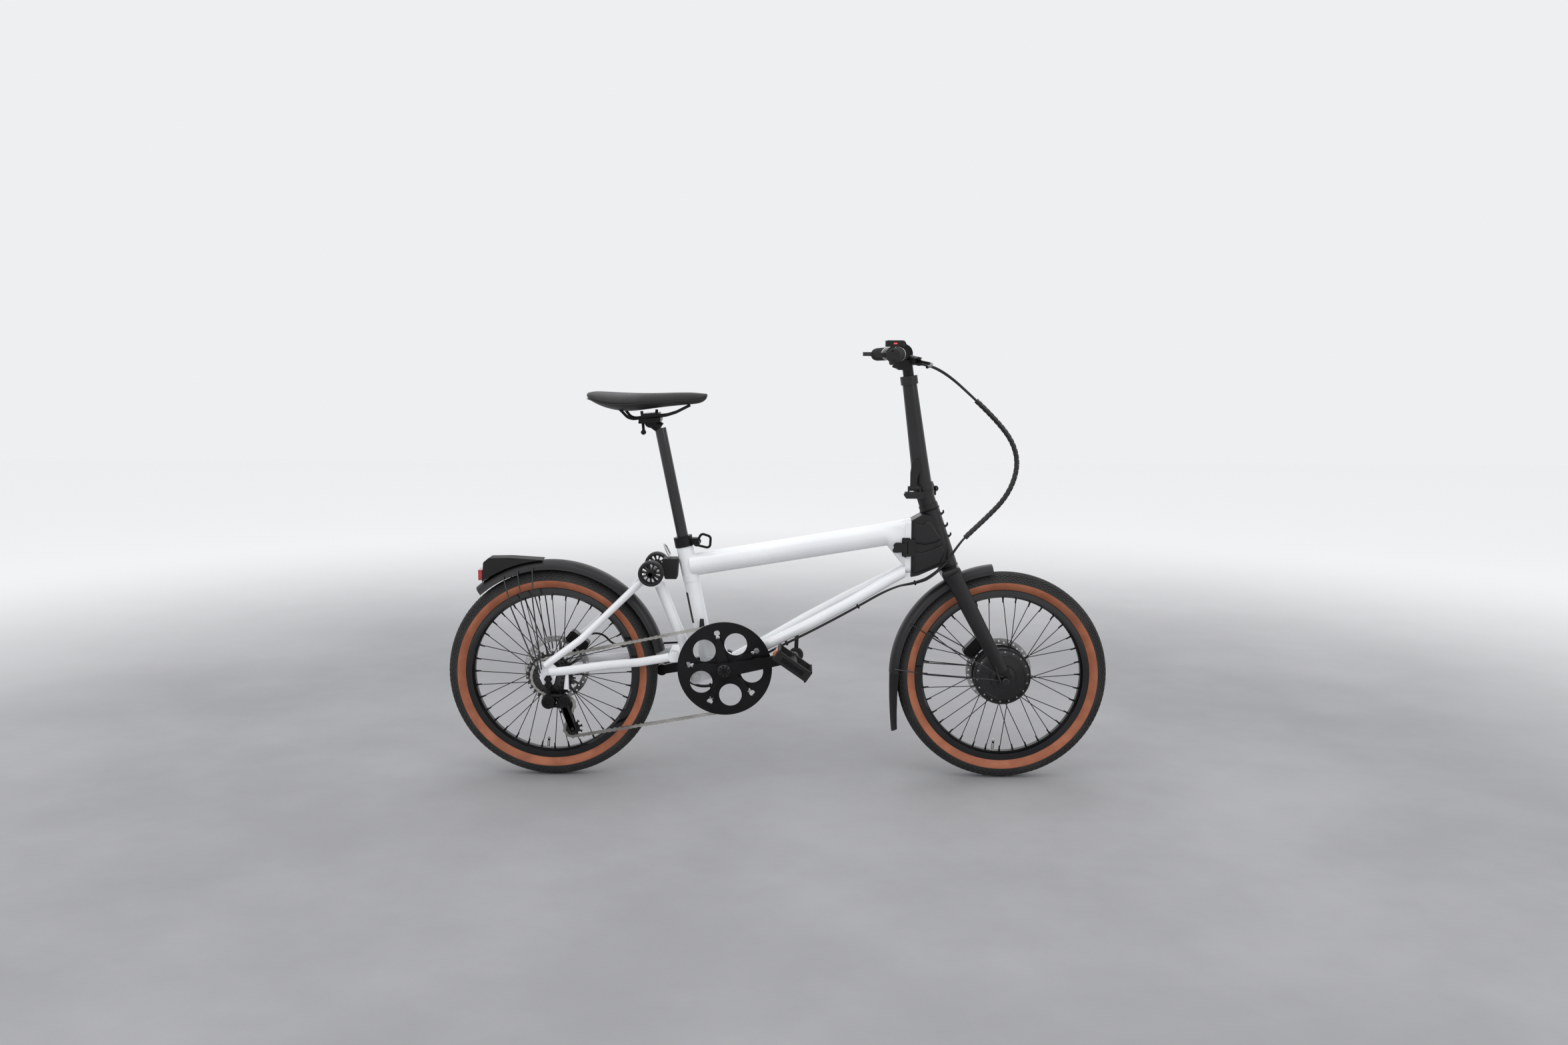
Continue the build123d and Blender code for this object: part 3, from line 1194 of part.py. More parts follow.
def make_brake_lever(side):
    """One curved brake lever on its upright pin."""
    y = LEVER_Y + 8
    x = LEVER_PIVOT[0] + 6
    path = [at(x, 1007, y), at(346, 1001, y + 26), at(340, 997, y + 80), at(326, 995, y + 128)]
    blade = wire_along(path, 3.2, [18, 60])
    pin = rod(at(x, 998, y), at(x, 1016, y), LEVER_PIN_R)
    return blade + pin if side > 0 else mirrored(blade + pin)


def make_display():
    """The small power display and thumb throttle box on the right of the bar."""
    c = bar_point(-152)
    band = rod(c - Vector(0, 7, 0), c + Vector(0, 7, 0), 16)
    box = Pos(c.X - 10, c.Y, c.Z + 23) * Box(42, 30, 14)
    box = fillet(box.edges().filter_by(Axis.Z), 4)
    bar = wire_along(bar_path(), BAR_R, [150, 90, 90, 150])
    return band + box - bar


def make_throttle():
    """The thumb paddle that turns on the display's band."""
    c = bar_point(-166)
    band = rod(c - Vector(0, 5.5, 0), c + Vector(0, 5.5, 0), 15)
    paddle = Pos(c.X - 6, c.Y, c.Z - 20) * Rot(0, 20, 0) * Box(10, 10, 22)
    bar = rod(bar_point(-BAR_HALF), bar_point(-141), BAR_R + FIT)
    return band + paddle - bar


def make_shifter():
    """The gear lever housing under the right of the bar."""
    c = Vector(BAR[0] - 8, -88, BAR[1] - 0.5)
    band = rod(c - Vector(0, 6, 0), c + Vector(0, 6, 0), 16)
    pod = Pos(c.X + 4, c.Y, c.Z - 26) * Box(34, 26, 22)
    pod = fillet(pod.edges().filter_by(Axis.Y), 6)
    bar = wire_along(bar_path(), BAR_R, [150, 90, 90, 150])
    return band + pod - bar


def make_bell():
    c = Vector(BAR[0] - 3, 62, BAR[1])
    band = rod(c - Vector(0, 5, 0), c + Vector(0, 5, 0), 14)
    cup = rod((c.X - 10, c.Y, c.Z - 28), (c.X - 10, c.Y, c.Z - 12), 15)
    cup = fillet(cup.edges(), 4)
    bar = wire_along(bar_path(), BAR_R, [150, 90, 90, 150])
    return band + cup - bar


def make_front_cables():
    """Hoses and gear cable that loop forward from the bar and back to the head tube."""
    out = []
    starts = [(320, -60, 1000), (318, 48, 998)]
    for n, (x, y, z) in enumerate(starts):
        s = 1 if y > 0 else -1
        path = [(x, y, z), (348, y * 0.8, 1000), (400, s * 16, 975), (462, s * 8, 920)]
        path += [(520, s * 5, 864), (556, s * 4, 818), (570, s * 4, 770), (562, s * 4, 722)]
        path += [(538, s * 5 - 4, 678), (500, s * 5 - 12, 640), (462, s * 4 - 22, 606)]
        y_end = CABLE_SIDE_Y - 2.8 - s * 2.8
        path += [(430, y_end + 3, 578), (404, y_end, 536)]
        radii = [min(b, 70) for b in bends_for(path)]
        print("front cable", n + 1, "bend radii", [round(b) for b in radii])
        out.append(wire_along(path, 2.5, radii))
    return out


# ---- front wheel ----


def make_hub_motor():
    """The geared motor hub: a round can with spoke flanges and a shallow dished cover."""
    outline = [(58, -MOTOR_HALF + 8), (MOTOR_R, -24), (MOTOR_R, 24), (58, MOTOR_HALF - 8),
               (34, MOTOR_HALF - 4), (20, MOTOR_HALF), (AXLE_R + FIT, MOTOR_HALF),
               (AXLE_R + FIT, -MOTOR_HALF), (20, -MOTOR_HALF), (34, -MOTOR_HALF + 4)]
    can = turned(outline, *FRONT)
    can += turned([(22, 30), (22, ROTOR_Y - 0.9), (8, ROTOR_Y - 0.9), (8, 30)], *FRONT)
    for y in (-20, 20):
        can += ring(*FRONT, y - 1.5, y + 1.5, MOTOR_R + 5, MOTOR_R - 4)
    return can


def make_front_axle():
    axle = disc(*FRONT, -FORK_TIP[1] - 12, FORK_TIP[1] + 12, AXLE_R)
    for side in (1, -1):
        nut = Pos(FRONT[0], 0, FRONT[1]) * Rot(90, 0, 0) * extrude(RegularPolygon(10, 6), 8)
        shift = FORK_TIP[1] + 8 if side > 0 else -FORK_TIP[1]
        axle += Pos(0, shift, 0) * nut
    axle += disc(*FRONT, -FORK_TIP[0], -MOTOR_HALF - ROOM, 9)
    return axle + disc(*FRONT, FORK_TIP[0], ROTOR_Y + 1.5, 9)


def make_front_fender():
    guard = fender(FRONT, FRONT_FENDER_R, FENDER_HALF, *FRONT_FENDER_ARC)
    x, z = around(*FRONT, 267, 118)
    tab = rod(at(x, z - 1), at(x - 4, z + 12), 6)
    out = [guard + tab]
    for bearing in FRONT_STAYS:
        foot = (FRONT[0] - 16, FRONT[1] + bearing / 2 - 80)
        out += stay_wire(FRONT, FRONT_FENDER_R, FENDER_HALF, bearing, foot, FORK_TIP[1])
    return out


def make_fender_flap():
    """The soft flap that hangs from the back end of the front fender."""
    x, z = around(*FRONT, FRONT_FENDER_R - FLAP_THICK, FRONT_FENDER_ARC[1])
    end_x, end_z = x + FLAP_DROP[0], z - FLAP_DROP[1]
    outline = [(x - 2, z - 1.5), (x + 2, z - 1.5), (x + 14, z - 57), (end_x, end_z),
               (end_x - FLAP_THICK, end_z - FLAP_THICK), (x + 8, z - 61)]
    return plate(outline, -FENDER_HALF - 2.5, FENDER_HALF + 2.5)


def make_front_caliper():
    x, z = around(*FRONT, ROTOR_R + 4, 137)
    body = caliper(x, z, 137 + 90)
    body -= disc(*FRONT, ROTOR_Y - 2, ROTOR_Y + 2, ROTOR_R + 3)
    body -= made["fork"]
    return max(body.solids(), key=lambda s: s.volume)


def build():
    m = made
    m["seat_tube"] = make_seat_tube()
    m["top_tube"] = make_top_tube()
    m["bottom_bracket"] = make_bottom_bracket()
    cut = bb_cutter()
    m["down_tubes"] = solids([down_tube(s) - cut - m["top_tube"] for s in (1, -1)])
    m["head_plate"] = make_head_plate()
    m["hinge_pins"] = solids(make_pivot_pin(), make_hinge_pin())
    m["frame_catches"] = solids(make_latch_base(), make_fold_catch())
    m["latch_lever"] = make_latch_lever()
    m["release_bail"] = make_release_bail()
    m["seat_collar"] = make_seat_collar()
    m["seat_lever"] = make_seat_lever()
    m["guide_and_bumper"] = solids(make_chain_guide(), make_fold_bumpers())
    m["frame_cables"] = solids(make_frame_cables())
    m["seatpost"] = make_seatpost()
    m["seat_clamp"] = solids(make_seat_clamp(), make_saddle_rails())
    m["saddle"] = make_saddle()
    m["rear_pillar"] = make_rear_pillar()
    m["rear_stays"] = solids(make_rear_stays())
    m["rear_axles"] = solids(make_roller_axle(), make_rear_axle())
    m["rollers"] = solids(make_roller(-1), make_roller(1))
    m["rear_fender"] = solids(make_rear_fender())
    m["tail_light"] = make_tail_light()
    m["tail_lens"] = make_tail_lens()
    m["rear_caliper"] = solids(make_rear_caliper())
    m["derailleur_body"] = make_derailleur_body()
    m["derailleur_cage"] = make_derailleur_cage()
    m["guide_pulley"] = make_pulley(GUIDE_PULLEY)
    m["tension_pulley"] = make_pulley(TENSION_PULLEY)
    m["cassette"] = make_cassette()
    m["chain"] = make_chain()
    m["rear_tyre"] = make_tyre(REAR)
    m["rear_rim"] = make_rim(REAR)
    m["rear_hub"] = make_rear_hub()
    m["rear_spokes"] = solids(make_spokes(REAR, 23.5, -21.5, 24, 42))
    m["rear_rotor"] = make_rotor(REAR, 12)
    m["crankset"] = make_crankset() + make_pedal_axle(-1) + make_pedal_axle(1)
    m["chainring"] = make_chainring()
    m["pedal_right"] = make_pedal(-1)
    m["pedal_left"] = make_pedal(1)
    m["head_housing"] = make_head_housing()
    m["fork"] = make_fork()
    m["stem_base"] = solids(make_stem_base(), make_stem_pin())
    m["front_fender"] = solids(make_front_fender(), make_fender_flap())
    m["front_caliper"] = make_front_caliper()
    m["front_axle"] = make_front_axle()
    m["front_tyre"] = make_tyre(FRONT)
    m["front_rim"] = make_rim(FRONT)
    m["hub_motor"] = make_hub_motor()
    m["front_spokes"] = solids(make_spokes(FRONT, MOTOR_R + 3, -20, 20, 12))
    m["front_rotor"] = make_rotor(FRONT, 12)
    m["stem_tube"] = make_stem_tube()
    m["stem_latch"] = make_stem_latch()
    m["handlebar_post"] = make_handlebar_post()
    m["handlebar"] = make_handlebar()
    m["grips"] = solids(make_grips())
    m["bar_controls"] = solids(make_brake_bodies(), make_display(), make_shifter(), make_bell())
    m["brake_lever_right"] = make_brake_lever(-1)
    m["brake_lever_left"] = make_brake_lever(1)
    m["throttle"] = make_throttle()
    m["front_cables"] = solids(make_front_cables())


build()
for name, shape in made.items():
    export_step(shape, f"parts/{name}.step")
print(len(made), "nodes")
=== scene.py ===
import math
from itertools import accumulate
import bmesh
import bpy
from mathutils import Matrix, Vector


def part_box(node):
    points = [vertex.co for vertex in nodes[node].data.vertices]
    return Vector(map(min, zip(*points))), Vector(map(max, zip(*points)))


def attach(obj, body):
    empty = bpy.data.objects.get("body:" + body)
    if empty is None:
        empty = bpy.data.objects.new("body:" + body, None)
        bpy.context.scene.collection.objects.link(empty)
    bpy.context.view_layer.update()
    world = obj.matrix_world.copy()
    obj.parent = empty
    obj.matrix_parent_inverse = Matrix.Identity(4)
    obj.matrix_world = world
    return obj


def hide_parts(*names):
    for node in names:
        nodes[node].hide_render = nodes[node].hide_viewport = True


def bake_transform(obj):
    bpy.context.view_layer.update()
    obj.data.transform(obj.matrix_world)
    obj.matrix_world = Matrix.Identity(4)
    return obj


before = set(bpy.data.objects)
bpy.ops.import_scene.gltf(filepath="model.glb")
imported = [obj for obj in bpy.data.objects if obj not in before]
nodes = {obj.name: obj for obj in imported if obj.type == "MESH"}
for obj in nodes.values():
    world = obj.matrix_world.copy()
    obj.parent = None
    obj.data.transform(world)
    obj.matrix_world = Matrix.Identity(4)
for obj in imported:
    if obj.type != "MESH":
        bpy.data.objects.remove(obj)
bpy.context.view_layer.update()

scene = bpy.context.scene

# ---------------------------------------------------------------- camera and studio
# The bicycle stands on a plain floor under one large soft lamp and two side lamps, with a
# bright even surround. None of this is part of the bicycle.
LENS_MM, FILM_MM = 30.45, 36.0
EYE = Vector((.04676, -3.14362, 1.03389))
TURN, DIP, LEAN = -.0098601, .1304667, .0035567
FLOOR_REACH = 9.0

ahead = Vector((math.sin(TURN) * math.cos(DIP), math.cos(TURN) * math.cos(DIP), -math.sin(DIP)))
level = ahead.cross(Vector((0, 0, 1))).normalized()
upright = level.cross(ahead)
across = math.cos(LEAN) * level + math.sin(LEAN) * upright
above = math.cos(LEAN) * upright - math.sin(LEAN) * level
camera = bpy.data.objects.new("camera", bpy.data.cameras.new("camera"))
camera.data.lens, camera.data.sensor_width = LENS_MM, FILM_MM
camera.matrix_world = Matrix.Translation(EYE) @ Matrix((across, above, -ahead)).transposed().to_4x4()
scene.collection.objects.link(camera)
scene.camera = camera
scene.view_settings.view_transform = "Standard"


class Value:
    """A value inside a node tree. Arithmetic on it adds the Math nodes that work it out."""

    def __init__(self, tree, socket):
        self.tree, self.socket = tree, socket

    def maths(self, operation, *terms):
        return self.tree.node("ShaderNodeMath", {"operation": operation}, dict(enumerate(terms)))

    def __add__(self, other): return self.maths("ADD", self, other)
    def __radd__(self, other): return self.maths("ADD", other, self)
    def __sub__(self, other): return self.maths("SUBTRACT", self, other)
    def __rsub__(self, other): return self.maths("SUBTRACT", other, self)
    def __mul__(self, other): return self.maths("MULTIPLY", self, other)
    def __rmul__(self, other): return self.maths("MULTIPLY", other, self)
    def __truediv__(self, other): return self.maths("DIVIDE", self, other)
    def __mod__(self, other): return self.maths("FLOORED_MODULO", self, other)

    def step(self, low, high):
        """0 below low and 1 above high, with a soft edge between."""
        return self.tree.node("ShaderNodeMapRange", {"interpolation_type": "SMOOTHSTEP"},
                              {"Value": self, "From Min": low, "From Max": high})


class Tree:
    """A node tree being put together."""

    def __init__(self, tree):
        self.tree = tree

    def node(self, kind, settings=None, values=None, out=0):
        made = self.tree.nodes.new(kind)
        for name, value in (settings or {}).items():
            setattr(made, name, value)
        for key, value in (values or {}).items():
            if isinstance(value, Value):
                self.tree.links.new(value.socket, made.inputs[key])
            else:
                made.inputs[key].default_value = value
        return Value(self, made.outputs[out])


class Finish(Tree):
    """A surface finish: a material whose pattern is laid out in the object's own coordinates."""

    def __init__(self, name, **constants):
        self.material = bpy.data.materials.new(name)
        self.material.use_nodes = True
        super().__init__(self.material.node_tree)
        self.shader = self.tree.nodes["Principled BSDF"]
        self.place = self.node("ShaderNodeTexCoord", out="Object")
        self.set(**constants)

    def set(self, **inputs):
        for name, value in inputs.items():
            socket = self.shader.inputs[name.replace("_", " ")]
            if isinstance(value, Value):
                self.tree.links.new(value.socket, socket)
            else:
                socket.default_value = value

    def noise(self, scale, detail=2.0, rough=.5):
        return self.node("ShaderNodeTexNoise", None, {"Vector": self.place, "Scale": scale,
                                                      "Detail": detail, "Roughness": rough})

    def cells(self, scale):
        """The distance to the nearest edge in a pattern of small cells."""
        return self.node("ShaderNodeTexVoronoi", {"feature": "DISTANCE_TO_EDGE"},
                         {"Vector": self.place, "Scale": scale})

    def colour(self, low, high, share):
        """The colour between low and high; each is (r, g, b) or an earlier mix."""
        ends = [c if isinstance(c, Value) else (*c, 1.0) for c in (low, high)]
        return self.node("ShaderNodeMix", {"data_type": "RGBA"},
                         {0: share, 6: ends[0], 7: ends[1]}, out=2)

    def bump(self, height, depth, under=None):
        """Relief of that depth in metres, on top of any relief given as under."""
        values = {"Height": height, "Strength": 1.0, "Distance": depth}
        if under is not None:
            values["Normal"] = under
        return self.node("ShaderNodeBump", None, values)


COAT_ROUGH = .06


def plain_finish(name, dark, light, rough, grain, depth, metal=0.0, coat=0.0, dust=.05, spread=.08):
    """A maker's everyday finish: slow colour drift, a fine grain, and a film of dust and rubbing."""
    made = Finish(name, Metallic=metal, Specular_IOR_Level=.32)
    drift = made.noise(9.0, 4.0).step(.35, .68)
    rubbed = made.noise(60.0, 6.0, .65).step(.56, .74)
    film = made.noise(3.2, 5.0, .6).step(.45, .75) * dust * .35
    grey = tuple(.35 * c + .16 for c in light)
    made.set(Base_Color=made.colour(made.colour(dark, light, drift), grey, film * (.5 + .5 * rubbed)),
             Roughness=rough + spread * drift + .6 * spread * rubbed + film * .4)
    made.set(Normal=made.bump(made.noise(grain, 3.0), depth))
    if coat:
        made.set(Coat_Weight=coat, Coat_Roughness=COAT_ROUGH)
    return made.material


floor = Finish("floor", Roughness=.75)
apart = floor.node("ShaderNodeVectorMath", {"operation": "LENGTH"}, {0: floor.place}, out="Value")
worn = floor.noise(1.3, 8.0, .62).step(.3, .75)
slab = floor.colour((.30, .30, .31), (.37, .37, .38), worn)
floor.set(Base_Color=floor.colour(slab, (.99, .99, .99), apart.step(1.5, 4.6)),
          Normal=floor.bump(floor.noise(90.0, 5.0), .0004))
ground_mesh = bpy.data.meshes.new("floor")
ground_mesh.from_pydata([(-FLOOR_REACH, -FLOOR_REACH, 0), (FLOOR_REACH, -FLOOR_REACH, 0),
                         (FLOOR_REACH, FLOOR_REACH, 0), (-FLOOR_REACH, FLOOR_REACH, 0)],
                        [], [(0, 1, 2, 3)])
ground_mesh.materials.append(floor.material)
ground = bpy.data.objects.new("floor", ground_mesh)
scene.collection.objects.link(ground)

world = bpy.data.worlds.new("surround")
world.use_nodes = True
surround = world.node_tree.nodes["Background"].inputs
surround["Color"].default_value, surround["Strength"].default_value = (.97, .98, 1.0, 1), .88
scene.world = world
for name, place, width, power in (("over", (0.0, -.3, 3.0), 3.2, 26.0),
                                  ("near_left", (-2.6, -2.4, 1.9), 1.6, 12.0),
                                  ("near_right", (2.7, -2.2, 2.0), 1.6, 12.0),
                                  ("behind", (.4, 2.8, 2.2), 2.2, 10.0)):
    lamp = bpy.data.objects.new(name, bpy.data.lights.new(name, "AREA"))
    lamp.data.size, lamp.data.energy = width, power
    lamp.location = place
    lamp.rotation_euler = (Vector((0, 0, .5)) - Vector(place)).to_track_quat("-Z", "Y").to_euler()
    scene.collection.objects.link(lamp)


# ---------------------------------------------------------------- shaping tools
# Lathe turning, sweeping along a path and lofting between ribs make most of the pieces below.
SIDES = (("left", 1), ("right", -1))


def dress(node, material):
    """Puts a finish on a piece of the frame that keeps its own shape."""
    nodes[node].data.materials.clear()
    nodes[node].data.materials.append(material)
    nodes[node].data.polygons.foreach_set("material_index", [0] * len(nodes[node].data.polygons))


def solved(thing):
    """The plain mesh that an object comes out as once its curve or modifiers are worked out."""
    graph = bpy.context.evaluated_depsgraph_get()
    return bpy.data.meshes.new_from_object(thing.evaluated_get(graph))


def settle(made, body, stands_for):
    """Gives a piece its body and the frame's pieces that it stands in for."""
    scene.collection.objects.link(made)
    if body:
        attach(made, body)
    if stands_for:
        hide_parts(*stands_for)
    return made


def piece(name, verts, faces, material, body, slot, stands_for=(), sharp=.7):
    """A finished piece with its faces turned outwards. One that bends is given no body."""
    mesh = bpy.data.meshes.new(name)
    mesh.from_pydata([tuple(v) for v in verts], [], faces)
    work = bmesh.new()
    work.from_mesh(mesh)
    bmesh.ops.remove_doubles(work, verts=work.verts, dist=1e-6)
    bmesh.ops.recalc_face_normals(work, faces=work.faces)
    for face in work.faces:
        face.smooth = True
    for edge in work.edges:
        if len(edge.link_faces) == 2 and edge.calc_face_angle(0.0) > sharp:
            edge.smooth = False
    work.to_mesh(mesh)
    work.free()
    mesh.materials.append(material)
    return settle(bpy.data.objects.new(name, mesh), body, stands_for)


def skin(rings, closed=False):
    """Faces between rings of points that all have the same count, as (points, faces)."""
    count = len(rings[0])
    verts = [p for ring in rings for p in ring]
    faces = []
    for i in range(len(rings) if closed else len(rings) - 1):
        for k in range(count):
            a, b = i * count, ((i + 1) % len(rings)) * count
            faces.append((a + k, a + (k + 1) % count, b + (k + 1) % count, b + k))
    if not closed:
        faces.append(tuple(range(count)))
        faces.append(tuple(range((len(rings) - 1) * count, len(rings) * count)))
    return verts, faces


def swung(outline, centre, a):
    """An outline of (radius, y) pairs standing out from centre at angle a about the Y axis."""
    return [centre + Vector((r * math.cos(a), y, r * math.sin(a))) for r, y in outline]


def lathe(outline, centre, steps):
    """A closed outline of (radius, y) pairs turned about the Y axis through centre."""
    turns = [2 * math.pi * k / steps for k in range(steps)]
    return skin([swung(outline, centre, a) for a in turns], closed=True)


def joined(*shapes):
    verts, faces = [], []
    for some_verts, some_faces in shapes:
        start = len(verts)
        verts += some_verts
        faces += [tuple(start + i for i in f) for f in some_faces]
    return verts, faces


def frame_along(points):
    """Two directions square to the path at each point, turned as little as possible."""
    out, side = [], None
    for i, p in enumerate(points):
        way = (points[min(i + 1, len(points) - 1)] - points[max(i - 1, 0)]).normalized()
        if side is None:
            side = way.cross(Vector((0, 1, 0)))
            if side.length < .1:
                side = way.cross(Vector((1, 0, 0)))
        side = (side - way * side.dot(way)).normalized()
        out.append((side, way.cross(side)))
    return out


def tube(points, radii, sides):
    """A round bar along points; radii is one number or one for each point."""
    if not hasattr(radii, "__len__"):
        radii = [radii] * len(points)
    rings = []
    for p, r, (u, v) in zip(points, radii, frame_along(points)):
        rings.append([p + r * (math.cos(a) * u + math.sin(a) * v)
                      for a in (2 * math.pi * k / sides for k in range(sides))])
    return skin(rings)


def stepped(place, marks, sides):
    """A round bar in steps. marks are (distance, radius); place turns a distance into a point."""
    return tube([place(d) for d, _ in marks], [r for _, r in marks], sides)


def band(spot, way, flat, rim, crown, sides):
    """A short band round a path at spot. way runs from its middle to its edge."""
    return tube([spot - way, spot - way * flat, spot + way * flat, spot + way],
                [rim, crown, crown, rim], sides)


def oblong(a, b):
    """The corners of a rectangle with these half sizes."""
    return (-a, -b), (a, -b), (a, b), (-a, b)


def metres(section):
    return [(r / 1000, y / 1000) for r, y in section]


def centre_of(node):
    low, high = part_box(node)
    return (low + high) / 2


def middle(node):
    """The node's centre, brought to the bicycle's middle plane."""
    c = centre_of(node)
    return Vector((c.x, 0.0, c.z))


# ---------------------------------------------------------------- repeated parts
# Screws, links, knobs and nipples are one small part each, repeated round an axle or
# along a path. The trees below do the repeating and end in plain geometry.
def repeat_tree(name, sockets, build):
    group = bpy.data.node_groups.new(name, "GeometryNodeTree")
    for socket, way, kind in (("Geometry", "INPUT", "Geometry"),
                              *((socket, "INPUT", kind) for socket, kind in sockets.items()),
                              ("Geometry", "OUTPUT", "Geometry")):
        group.interface.new_socket(socket, in_out=way, socket_type="NodeSocket" + kind)
    tree = Tree(group)
    given = group.nodes.new("NodeGroupInput")
    build(tree, {s.name: Value(tree, s) for s in given.outputs if s.name},
          group.nodes.new("NodeGroupOutput"))
    return group


def end_tree(tree, geometry, material, output):
    real = tree.node("GeometryNodeRealizeInstances", None, {"Geometry": geometry})
    done = tree.node("GeometryNodeSetMaterial", None, {"Geometry": real, "Material": material})
    tree.tree.links.new(done.socket, output.inputs[0])


def build_round(tree, given, output):
    """The part, drawn about the origin, set round the Y axis through Centre."""
    spots = tree.node("GeometryNodePoints", None, {"Count": given["Count"], "Position": given["Centre"]})
    order = tree.node("GeometryNodeInputIndex")
    angle = given["First angle"] + order * (2 * math.pi) / given["Count"]
    turn = tree.node("ShaderNodeCombineXYZ", None, {"Y": 0.0 - angle})
    many = tree.node("GeometryNodeInstanceOnPoints", None,
                     {"Points": spots, "Instance": given["Geometry"], "Rotation": turn})
    end_tree(tree, many, given["Material"], output)


def build_along(tree, given, output):
    """The part, drawn about the origin along X, set at even steps on a path in the XZ plane."""
    path = tree.node("GeometryNodeObjectInfo", None, {"Object": given["Path"]}, out="Geometry")
    spots = tree.node("GeometryNodeCurveToPoints", {"mode": "COUNT"},
                      {"Curve": path, "Count": given["Count"]})
    tangent = Value(tree, spots.socket.node.outputs["Tangent"])
    facing = tree.node("FunctionNodeAlignRotationToVector", {"axis": "X", "pivot_axis": "Y"},
                       {"Vector": tangent})
    order = tree.node("GeometryNodeInputIndex") - given["First"]
    chosen = tree.node("FunctionNodeCompare", {"data_type": "FLOAT", "operation": "EQUAL"},
                       {"A": order % given["Every"], "B": 0.0, "Epsilon": .1})
    many = tree.node("GeometryNodeInstanceOnPoints", None,
                     {"Points": spots, "Selection": chosen, "Instance": given["Geometry"],
                      "Rotation": facing})
    end_tree(tree, many, given["Material"], output)


ROUND = repeat_tree("set_round", {"Count": "Int", "Centre": "Vector", "First angle": "Float",
                                  "Material": "Material"}, build_round)
ALONG = repeat_tree("set_along", {"Path": "Object", "Count": "Int", "Every": "Float",
                                  "First": "Float", "Material": "Material"}, build_along)


def repeated(name, part, group, body, slot, material, stands_for=(), **sizes):
    """Runs one of the trees on a part and keeps the result as a plain piece."""
    seed = piece(name + "_one", *part, material, None, None)
    modifier = seed.modifiers.new("repeat", "NODES")
    modifier.node_group = group
    sizes["Material"] = material
    for item in group.interface.items_tree:
        size = item.name.replace(" ", "_")
        if item.in_out == "INPUT" and size in sizes:
            modifier[item.identifier] = sizes[size]
    seed.update_tag()
    mesh = solved(seed)
    bpy.data.objects.remove(seed)
    return settle(bpy.data.objects.new(name, mesh), body, stands_for)


def screw(radius, head, y0, way, at_radius):
    """A button head with a hex socket, its axis along Y, standing at_radius out along X."""
    round_turns = [math.pi * k / 6 for k in range(12)]
    hex_turns = [math.pi * (k // 2) / 3 for k in range(12)]
    hex_r = .48 * radius
    return skin([[Vector((at_radius + r * math.cos(a), y0 + way * h, r * math.sin(a))) for a in turns]
                 for r, h, turns in ((radius, 0, round_turns), (radius, head * .45, round_turns),
                                     (radius * .82, head * .9, round_turns),
                                     (radius * .5, head, round_turns), (hex_r, head, hex_turns),
                                     (hex_r, head * .4, hex_turns))])


# ---------------------------------------------------------------- frame
# Welded aluminium tubes under a gloss white lacquer, which shows a little orange peel, faint
# dust in the corners and greyer rubs where hands and cables touch it.
WHITE, COOL_WHITE = (.88, .89, .90), (.80, .815, .84)
white = Finish("white_lacquer", Metallic=0.0, Coat_Weight=.7, Coat_Roughness=.05)
peel = white.noise(420.0, 2.0)
cloud = white.noise(7.0, 4.0).step(.3, .72)
scuffs = white.noise(55.0, 8.0, .7).step(.66, .78)
white.set(Base_Color=white.colour(white.colour(COOL_WHITE, WHITE, cloud), (.55, .55, .56), scuffs * .12),
          Roughness=.2 + .1 * cloud + .2 * scuffs,
          Normal=white.bump(peel, .00005))
for node in ("seat_tube", "top_tube", "bottom_bracket", "down_tubes", "head_plate",
             "rear_pillar", "rear_stays"):
    dress(node, white.material)

satin_black = plain_finish("satin_black", (.006, .006, .0065), (.012, .012, .013), .38,
                           1400.0, .00004, coat=.15, dust=.10)
gloss_black = plain_finish("gloss_black", (.004, .004, .005), (.010, .010, .011), .12,
                           700.0, .00001, metal=.2, coat=.6, dust=.06)
anodised = plain_finish("black_anodised", (.006, .006, .0065), (.013, .013, .014), .33,
                        1800.0, .00003, metal=.55, dust=.10)
moulded = plain_finish("moulded_black", (.007, .007, .007), (.015, .015, .015), .52,
                       1100.0, .00008, dust=.14)
sheet_black = plain_finish("fender_black", (.008, .008, .009), (.016, .016, .017), .42,
                           600.0, .00006, coat=.1, dust=.18)
rubber = plain_finish("soft_rubber", (.008, .008, .008), (.017, .017, .017), .68,
                      900.0, .00012, dust=.12)
steel = plain_finish("bare_steel", (.42, .42, .41), (.62, .62, .61), .24,
                     1500.0, .00004, metal=1.0, dust=.10)
silver = plain_finish("silver_alloy", (.45, .45, .46), (.60, .60, .61), .30,
                      1200.0, .00004, metal=1.0, dust=.16)
chain_metal = plain_finish("oiled_chain", (.30, .29, .27), (.56, .55, .52), .30,
                           900.0, .00006, metal=.95, dust=.22, spread=.22)
dark_steel = plain_finish("dark_steel", (.030, .030, .031), (.085, .083, .080), .30, 900.0,
                          .00005, metal=.9, dust=.10)
